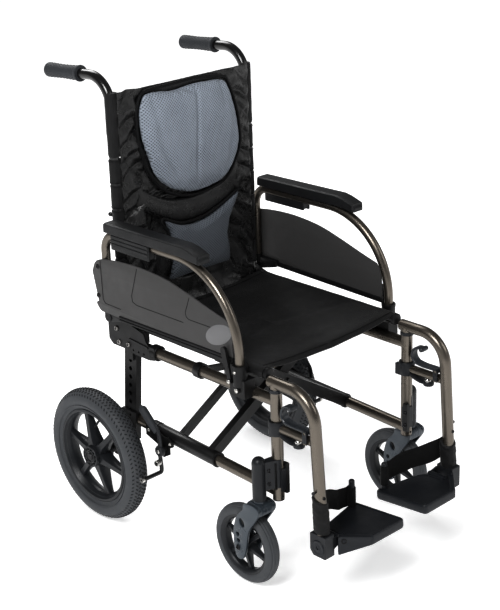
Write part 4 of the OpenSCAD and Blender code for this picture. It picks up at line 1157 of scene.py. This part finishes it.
def simulate(ob, frames, pinned=None, pressure=0.0, grow=0.0, cap=12.0, bend=0.5):
    """Cloth run on a mesh in place. cap is the most that a point may move, in millimetres."""
    rest = np.array([v.co for v in ob.data.vertices], float)
    if pinned is not None:
        group = ob.vertex_groups.new(name="pin")
        for i, w in enumerate(pinned):
            group.add([i], float(w), "REPLACE")
    cloth = ob.modifiers.new("cloth", "CLOTH")
    s = cloth.settings
    s.quality, s.mass = 6, 0.3
    s.tension_stiffness = s.compression_stiffness = 12
    s.shear_stiffness, s.bending_stiffness = 6, bend
    s.effector_weights.gravity = 0
    s.use_pressure, s.uniform_pressure_force = pressure > 0, pressure
    s.shrink_min = s.shrink_max = -grow
    if pinned is not None:
        s.vertex_group_mass = "pin"
        s.pin_stiffness = 1
    scene = bpy.context.scene
    cloth.point_cache.frame_end = frames + 1
    for f in range(1, frames + 1):
        scene.frame_set(f)
    done = ob.evaluated_get(bpy.context.evaluated_depsgraph_get())
    now = np.array([v.co for v in done.data.vertices], float)
    ob.modifiers.remove(cloth)
    scene.frame_set(1)
    move = now - rest
    size = np.linalg.norm(move, axis=1, keepdims=True)
    move *= np.minimum(1, cap * MM / np.maximum(size, 1e-9))
    ob.data.vertices.foreach_set("co", (rest + move).ravel())
    ob.data.update()


def remesh(ob, voxel):
    m = ob.modifiers.new("remesh", "REMESH")
    m.mode, m.voxel_size, m.use_smooth_shade = "VOXEL", voxel * MM, True
    mesh = evaluated_mesh(ob)
    ob.modifiers.clear()
    for material in ob.data.materials:
        if material.name not in [x.name for x in mesh.materials if x]:
            mesh.materials.append(material)
    ob.data = mesh


def smooth(ob):
    m = ob.modifiers.new("subdivide", "SUBSURF")
    m.levels = m.render_levels = 1


def thicken(ob, thickness, subdivide=True):
    m = ob.modifiers.new("thickness", "SOLIDIFY")
    m.thickness, m.offset = thickness * MM, 0
    if subdivide:
        smooth(ob)


def settle(ob):
    """Turns the modifiers of a piece into its mesh."""
    mesh = evaluated_mesh(ob)
    ob.modifiers.clear()
    ob.data = mesh
    mesh.polygons.foreach_set("use_smooth", [True] * len(mesh.polygons))


# Corners of the upper mesh pad as (x, z), from its foot round by the occupant's right
SHIELD = ((4, 722), (-54, 738), (-103, 776), (-134, 846), (-142, 922), (-131, 962), (-112, 974), (-40, 976),
          (36, 977), (104, 968), (124, 950), (142, 900), (152, 850), (150, 800), (112, 742), (62, 725))


def shield_outline(grow=0.0):
    """The pad's outline as (x, z), moved outwards by grow."""
    cx, cz = 5, 855
    out = []
    for p in smooth_path([(x, z, 0) for x, z in SHIELD], 6, True):
        away = Vector((p.x - cx, p.y - cz)).normalized() * grow
        out.append((p.x + away.x, min(980.5, p.y + away.y)))
    return out


def gathers(x, z):
    """Depth of the folds that run from the pad to the canes, and of the slack folds below the pad."""
    edge = max(0.0, abs(x) / CANE_X - 0.5) / 0.5
    bend = noise.noise(Vector((x * 0.008, z * 0.017, 3.3 + (x > 0))))
    wave = math.sin((z + 0.55 * abs(x)) / 41 * 2 * math.pi + 4.6 * bend)
    ridge = (0.5 + 0.5 * wave) ** 0.55 - 0.55
    fine = noise.noise(Vector((x * 0.022, z * 0.07, 8.1)))
    deep = edge ** 0.8 * (1 - edge ** 5) * (11.0 * ridge + 2.0 * fine)
    slack = math.exp(-((z - 716) / 34) ** 2) * math.sin((z - 0.16 * x) / 21 * 2 * math.pi + 2.5 * bend) * 2.6
    return deep + slack * (1 - edge ** 2)


PANEL_Y = CANE_Y - CANE_R - 1.5


def fold_back(ob):
    """Gives a piece of the back a mesh of its own."""
    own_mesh(ob)


def lumbar_arch(x):
    """Height of the lumbar pad's upper edge, which sweeps up to its tips."""
    return 700 - 44 * math.cos(min(1, abs(x) / 150) * math.pi / 2) ** 1.1 + 7 * max(0.0, (-x - 40) / 44)


LUMBAR_OUTLINE = [(x, lumbar_arch(x)) for x in range(-84, 151, 9)] + [
    (120, 640), (111, 600), (114, 560), (112, 532), (-76, 532), (-66, 570), (-64, 610), (-72, 650)]


def inside(outline, co):
    """Which vertices lie within an outline drawn on the back, in (x, z)."""
    x, z = co[:, 0] / MM, co[:, 2] / MM
    found = np.zeros(len(co), bool)
    for (x0, z0), (x1, z1) in zip(outline, outline[1:] + outline[:1]):
        if z0 != z1:
            found ^= ((z0 > z) != (z1 > z)) & (x < x0 + (z - z0) * (x1 - x0) / (z1 - z0))
    return found


def back_panel():
    """The sheet between the canes. The simulation gives it the folds of slack nylon."""
    nu, nv = 110, 150
    x1 = CANE_X - 6
    z0, z1 = BACK_LO[2] - 40, BACK_HI[2]
    points = []
    for j in range(nv + 1):
        v = j / nv
        for i in range(nu + 1):
            u = i / nu * 2 - 1
            x = x1 * u
            top = z1 - 3 * (1 - abs(u) ** 3) * (v > 0.5) * (v - 0.5) * 2
            z = z0 + (top - z0) * v
            sag = 5.0 * (1 - u * u)
            ripple = 2.2 * noise.noise(Vector((u * 1.2 + 3, v * 7.5, 0.7))) * (1 - u * u)
            points.append((x, PANEL_Y + sag * 0.6 + ripple - gathers(x, z), z))
    ob = make("back_panel", Shape().add(points, grid_faces(nu, nv)), NYLON, angle=180)
    pins = []
    for j in range(nv + 1):
        for i in range(nu + 1):
            u, v = abs(i / nu * 2 - 1), j / nv
            edge = u > 0.985
            strap = 0.5 + 0.5 * math.cos(v * 2 * math.pi * 5.5)
            pad = u < 0.62 and v > 0.55
            pins.append(1.0 if edge else (0.35 * strap if u > 0.93 else (0.5 if pad else 0.0)))
    simulate(ob, 26, pins, grow=0.055, cap=13, bend=1.2)
    front, rear, behind_pads = PANEL_Y - 7, PANEL_Y + 16, PANEL_Y + 3.4
    co = np.array([v.co for v in ob.data.vertices])
    co[:, 1] = np.clip(co[:, 1], front * MM, rear * MM)
    under = inside(shield_outline(0), co) | inside(LUMBAR_OUTLINE, co)
    co[under, 1] = np.maximum(co[under, 1], behind_pads * MM)
    ob.data.vertices.foreach_set("co", co.ravel())
    thicken(ob, 1.8)
    settle(ob)
    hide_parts("back_sling")
    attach(ob, "right_frame")
    fold_back(ob)


def cane_sleeve(name, side):
    """Sleeve of the back round its cane: one long tube above, and strap loops with gaps below."""
    spans = [(846, 984)] + [(z, z + 54) for z in (507, 563, 619, 675, 731, 787)]
    for k, (z0, z1) in enumerate(spans):
        sleeve = Shape()
        rings, count, rows = [], 48, max(8, int((z1 - z0) / 5))
        for i in range(rows + 1):
            z = z0 + (z1 - z0) * i / rows
            ring = []
            end = min(i, rows - i)
            for t in turns(count):
                c, s = math.cos(t), math.sin(t)
                w = 0.9 * noise.noise(Vector((1.7 * c, 1.7 * s, z * 0.045 + k * 7.1)))
                w += 0.5 * noise.noise(Vector((4 * c, 4 * s, z * 0.02 + k)))
                r = CANE_R + 1.7 + w - (0.8 if end == 0 else 0)
                # The flap that goes inwards to the panel
                pull = max(0.0, -c) ** 3 * max(0.0, -s * 0.6 + 0.55)
                ring.append((CANE_X + r * c - 4.5 * pull, CANE_Y + r * s - 1.0 * pull, z))
            rings.append(ring)
        sleeve.rings(rings)
        sleeve.slot = 1
        if k:
            for dz in (3.5, z1 - z0 - 3.5):
                sleeve.tube([(x, y, z0 + dz) for x, y in circle(CANE_X, CANE_Y, CANE_R + 2.6, 32)], 0.5, 6,
                            closed=True)
        make(f"back_sleeve_{k + 1}_{name}", sleeve, [SLEEVE, PIPING], f"{name}_frame", side,
             angle=60)


def pad_solid(name, outline, y_back, depth, crease, voxel, material, pressure, cap, node, crown=10.0):
    """A closed pad from an outline, puffed by a simulation, with the pressed creases put back after it."""
    k = len(outline)
    cx = sum(p[0] for p in outline) / k
    cz = sum(p[1] for p in outline) / k

    def ring(share, y):
        return [(cx + (x - cx) * share, y, cz + (z - cz) * share) for x, z in outline]
    layers = [ring(0.5, y_back), ring(0.97, y_back), ring(1.0, y_back - depth * 0.25),
              ring(0.985, y_back - depth * 0.6), ring(0.93, y_back - depth * 0.86),
              ring(0.8, y_back - depth), ring(0.4, y_back - depth - crown * 0.35)]
    ob = make(name, Shape().rings(layers), material, angle=180)
    remesh(ob, voxel)
    simulate(ob, 18, None, pressure=pressure, cap=cap, bend=0.8)
    co = np.array([v.co for v in ob.data.vertices]) / MM
    co[:, 1] = np.minimum(co[:, 1], y_back)
    towards_front = np.clip((y_back - depth * 0.4 - co[:, 1]) / (depth * 0.4), 0, 1)
    co[:, 1] += crease(co[:, 0], co[:, 2]) * towards_front
    ob.data.vertices.foreach_set("co", (co * MM).ravel())
    smooth(ob)
    settle(ob)
    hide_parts(node)
    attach(ob, "right_frame")
    fold_back(ob)
    return ob


def trim_line(name, path, radius, material, y, closed=True):
    """Piping on the back, which folds with it."""
    line = Shape().tube([(x, y, z) for x, z in path], radius, 10, closed=closed)
    ob = make(name, line, material, "right_frame", angle=80)
    fold_back(ob)


def back_pads():
    def upper_crease(x, z):
        middle_x = 12 + 5 * np.sin(z / 70)
        deep = 5.5 * np.exp(-((x - middle_x) / 4.5) ** 2) * np.clip((z - 740) / 60, 0, 1)
        deep += 3.0 * np.clip((x - middle_x) / 30, 0, 1) * np.exp(-np.abs(x - middle_x) / 30)
        low = 4.2 * np.exp(-((x + 92 - (850 - z) * 0.62) / 6.5) ** 2) * np.clip((862 - z) / 30, 0, 1)
        low = low * np.clip((z - 760) / 30, 0, 1)
        far = 3.0 * np.exp(-((x - 112 - (z - 800) * 0.2) / 8.0) ** 2) * np.clip((900 - z) / 60, 0, 1)
        top = 3.0 * np.exp(-((x - 96) / 7.0) ** 2) * np.clip((z - 880) / 60, 0, 1)
        top += 2.4 * np.exp(-((x + 96 + (z - 900) * 0.15) / 8.0) ** 2) * np.clip((z - 850) / 60, 0, 1)
        return deep + low + far + top

    back = PANEL_Y + 1.5
    pad_solid("upper_mesh_pad", shield_outline(-2), back, 19, upper_crease, 4.0, MESH_BLUE, 3.0, 9,
              "back_pad")
    edge = [(x + 1.4 * noise.noise(Vector((x * 0.05, z * 0.05, 1.0))), z) for x, z in shield_outline(3.0)]
    trim_line("upper_pad_piping", edge, 3.6, PIPING, back - 7)

    arch = [(x, lumbar_arch(x)) for x in range(-84, 151, 9)]
    outline = rounded(LUMBAR_OUTLINE, 5, 2)
    pad_solid("lumbar_mesh_pad", outline, back, 13, lambda x, z: 0 * x, 4.0, MESH_LOW, 2.0, 6,
              "lumbar_pad", 5)
    curl = [(-72, 640), (-80, 660), (-91, 674), (-90, 684)]
    trim_line("lumbar_piping", curl + [(x, z + 3) for x, z in arch], 3.4, PIPING, back - 8, closed=False)
    # Padded crescent between the two mesh pads
    rings, n = [], 40
    for i in range(n + 1):
        u = i / n * 2 - 1
        low_z = lumbar_arch(u * 146) + 5
        high_z = 716 + 60 * abs(u) ** 2.2
        wide = max(2.0, high_z - low_z)
        puff = (11 + 2.5 * noise.noise(Vector((u * 6, 0.3, 0.9)))) * (1 - abs(u) ** 6) ** 0.5
        x = u * 152
        ring = []
        for t in turns(16):
            ring.append((x, back - max(0.4, puff * max(0, math.sin(t)) ** 0.6),
                         (low_z + high_z) / 2 + wide / 2 * math.cos(t)))
        rings.append(ring)
    crescent = make("back_crescent", Shape().rings(rings), NYLON, "right_frame", angle=60)
    fold_back(crescent)


def fold_seat(ob):
    """Gives a piece of the seat a mesh of its own."""
    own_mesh(ob)


def seat_half(name, side, body):
    """Half of the sling seat: round its rail, over the top, in to the middle, and sagging."""
    nu, nv = 54, 84
    y0, y1 = SEAT_LO[1] - 4, SEAT_HI[1]
    r = 11 + 1.6
    wrap = 250
    arc = math.radians(wrap) * r
    flat_l = SEAT_X
    total = arc + flat_l
    points = []
    for j in range(nv + 1):
        v = j / nv
        y = y0 + (y1 - y0) * v
        for i in range(nu + 1):
            d = total * i / nu
            edge = min(v, 1 - v)
            if d < arc:
                t = math.radians(90) - (arc - d) / r
                w = 0.6 * noise.noise(Vector((t * 1.5, y * 0.03, 4.0 + side)))
                x, z = SEAT_X + (r + w) * math.cos(t), SEAT_Z + (r + w) * math.sin(t)
            else:
                x = SEAT_X - (d - arc)
                u = x / SEAT_X
                sag = 13.0 * (1 - u * u) * (0.75 + 0.25 * math.sin(math.pi * v))
                lip = 7.0 * max(0.0, 1 - v / 0.05) ** 2 * (1 - u ** 6)
                w = 2.6 * noise.noise(Vector((x * 0.011, y * 0.016, 1.3)))
                w += 2.4 * noise.noise(Vector((x * 0.007, y * 0.030, 7.7))) * (1 - u) ** 0.5
                w += 2.2 * noise.noise(Vector((x * 0.03, y * 0.028, 5.1))) * math.exp(-edge / 0.08) * u ** 2
                w -= 4.2 * math.exp(-((v - 0.30 - 0.16 * (1 - u)) / 0.035) ** 2) * (1 - u) ** 0.3 * u ** 0.5
                z = SEAT_Z + r - sag - lip + w * min(1.0, (1 - u) * 9 + 0.1)
            points.append((x, y, z))
    ob = make(f"seat_cover_{name}", Shape().add(points, grid_faces(nu, nv)), NYLON_SEAT, None, side,
              angle=180)
    thicken(ob, 2.0, False)
    settle(ob)
    if side > 0:
        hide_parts("seat_sling")
    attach(ob, body)
    fold_seat(ob)
    seams = Shape()
    for y in (y0 + 10, y1 - 14):
        seams.tube([(x, y, SEAT_Z + r + 1.0 - 13.0 * (1 - (x / SEAT_X) ** 2) * 0.78) for x in
                    [SEAT_X * (1 - k / 30) for k in range(30)]], 0.7, 6)
    seam = make(f"seat_seam_{name}", seams, PIPING, body, side)
    fold_seat(seam)
    caps = Shape()
    for y, s in ((-219, -1), (205, 1)):
        caps.revolve([(y - s * 8, 0.02), (y - s * 8, 8.8), (y, 8.8), (y, 13.2), (y + s * 5, 13.0),
                      (y + s * 7, 11), (y + s * 7.4, 0.02)], (SEAT_X, 0, SEAT_Z), "Y", 36)
    make(f"seat_rail_plugs_{name}", caps, BLACK_PLASTIC, body, side)


def brace_trim():
    """Pivot bolts of the scissor, and sleeve end rings."""
    cross = LOW_Z + 244.5 * 202 / 398
    bolts = Shape()
    for y in (68, -32):
        bolts.bolt((0, y, cross + y * math.tan(LOW_TILT)), "Y", 8, 5)
    make("brace_pivot_bolts", bolts, ZINC, "cross_brace_a")
    for name, side, body in (("right", -1, "cross_brace_a"), ("left", 1, "cross_brace_b")):
        rings = Shape()
        for y in (-66, 130):
            z = LOW_Z + y * math.tan(LOW_TILT)
            s = 1 if y > 0 else -1
            rings.revolve([(-s * 4, 16.1), (-s * 4, 16.8), (s * 1, 16.8), (s * 1.4, 15.5), (s * 1.4, 12.8)],
                          (FRAME_X, y, z), "Y", 44)
        make(f"sleeve_rings_{name}", rings, BLACK_PLASTIC, body, side)


def blank_label():
    """A plain sticker on the inner side of the far sleeve."""
    label = Shape()
    rings = []
    for i in range(9):
        t = math.radians(192 - 34 * i / 8 + 4)
        rings.append([(FRAME_X + r * math.cos(t), y, LOW_Z + y * math.tan(LOW_TILT) + r * math.sin(t))
                      for r, y in ((16.1, 47), (16.1, 115), (16.5, 115), (16.5, 47))])
    label.rings(rings)
    make("blank_label", label, LABEL, "cross_brace_b")


for builder in (rear_tyre, rear_rim, caster_tyre, caster_rim, caster_fork, housing_trim, push_grip,
                armrest_pad, side_panel, socket_trim, bracket_trim, brake, hook_lever, legrest_trim,
                foot_block, footplate, heel_strap, cane_sleeve):
    for side_name, sign in SIDES.items():
        builder(side_name, sign)
back_panel()
back_pads()
seat_half("left", 1, "cross_brace_a")
seat_half("right", -1, "cross_brace_b")
brace_trim()
blank_label()


# ------------------------------------------------------------------ stage, light and camera

SKY, HORIZON = 0.23, 0.85
FLOOR_GLOW, FLOOR_AWAY = 0.52, 0.80


def stage():
    floor = bpy.data.meshes.new("floor")
    floor.from_pydata([(-40, -40, 0), (40, -40, 0), (40, 40, 0), (-40, 40, 0)], [], [[0, 1, 2, 3]])
    ob = new_object("floor", floor)
    n = Nodes("pale_floor")
    tone = n.mix(n.noise(0.8, 2), (0.90, 0.90, 0.905, 1), (0.92, 0.92, 0.92, 1))
    n.set(Base_Color=tone, Roughness=n.ramp(n.noise(3, 2), 0.3, 0.7, 0.5, 0.6), Specular_IOR_Level=0.2,
          Emission_Color=(1, 1, 1, 1))
    away = n.node("ShaderNodeVectorMath")
    away.operation = "LENGTH"
    n.link(n.place, away.inputs[0])
    n.link(n.ramp(away.outputs["Value"], 0.7, 2.6, FLOOR_GLOW, FLOOR_AWAY),
           n.shader.inputs["Emission Strength"])
    floor.materials.append(n.material)
    world = bpy.data.worlds.new("studio")
    world.use_nodes = True
    world.node_tree.nodes["Background"].inputs["Color"].default_value = (1.0, 1.0, 1.0, 1)
    sky = world.node_tree
    parts = sky.nodes.new("ShaderNodeSeparateXYZ")
    sky.links.new(sky.nodes.new("ShaderNodeTexCoord").outputs["Generated"], parts.inputs[0])
    fade = sky.nodes.new("ShaderNodeMapRange")
    for i, value in enumerate((0.0, 0.16, HORIZON, SKY)):
        fade.inputs[i + 1].default_value = value
    sky.links.new(parts.outputs["Z"], fade.inputs[0])
    sky.links.new(fade.outputs[0], sky.nodes["Background"].inputs["Strength"])
    bpy.context.scene.world = world
    view = bpy.context.scene.view_settings
    view.view_transform, view.gamma, view.exposure = "Standard", 0.78, 0.08
    for place, size, power in (((-2.4, -1.0, 2.9), 1.3, 95), ((1.6, -2.8, 2.4), 1.6, 24),
                               ((0.6, 2.4, 3.0), 1.8, 60)):
        lamp = bpy.data.lights.new("softbox", "AREA")
        lamp.size, lamp.energy = size, power
        ob = new_object("softbox", lamp)
        ob.location = place
        ob.rotation_mode = "QUATERNION"
        ob.rotation_quaternion = (Vector((0, 0, 0.45)) - Vector(place)).to_track_quat("-Z", "Y")


def camera():
    """The photograph's view: 43 degrees round from the front, 21 above."""
    azimuth, elevation, roll = math.radians(-43.18), math.radians(21.22), math.radians(-1.97)
    distance, look = 3.0548, Vector((-0.0729, -0.0432, 0.5415))
    back = Vector((math.sin(azimuth) * math.cos(elevation), -math.cos(azimuth) * math.cos(elevation),
                   math.sin(elevation)))
    right = Vector((math.cos(azimuth), math.sin(azimuth), 0))
    up = back.cross(right)
    right, up = (right * math.cos(roll) + up * math.sin(roll), up * math.cos(roll) - right * math.sin(roll))
    data = bpy.data.cameras.new("camera")
    data.lens, data.sensor_width, data.clip_end = 84.45, 36, 100
    ob = new_object("camera", data)
    ob.matrix_world = Matrix((right, up, back)).transposed().to_4x4()
    ob.location = look + back * distance
    bpy.context.scene.camera = ob


stage()
camera()
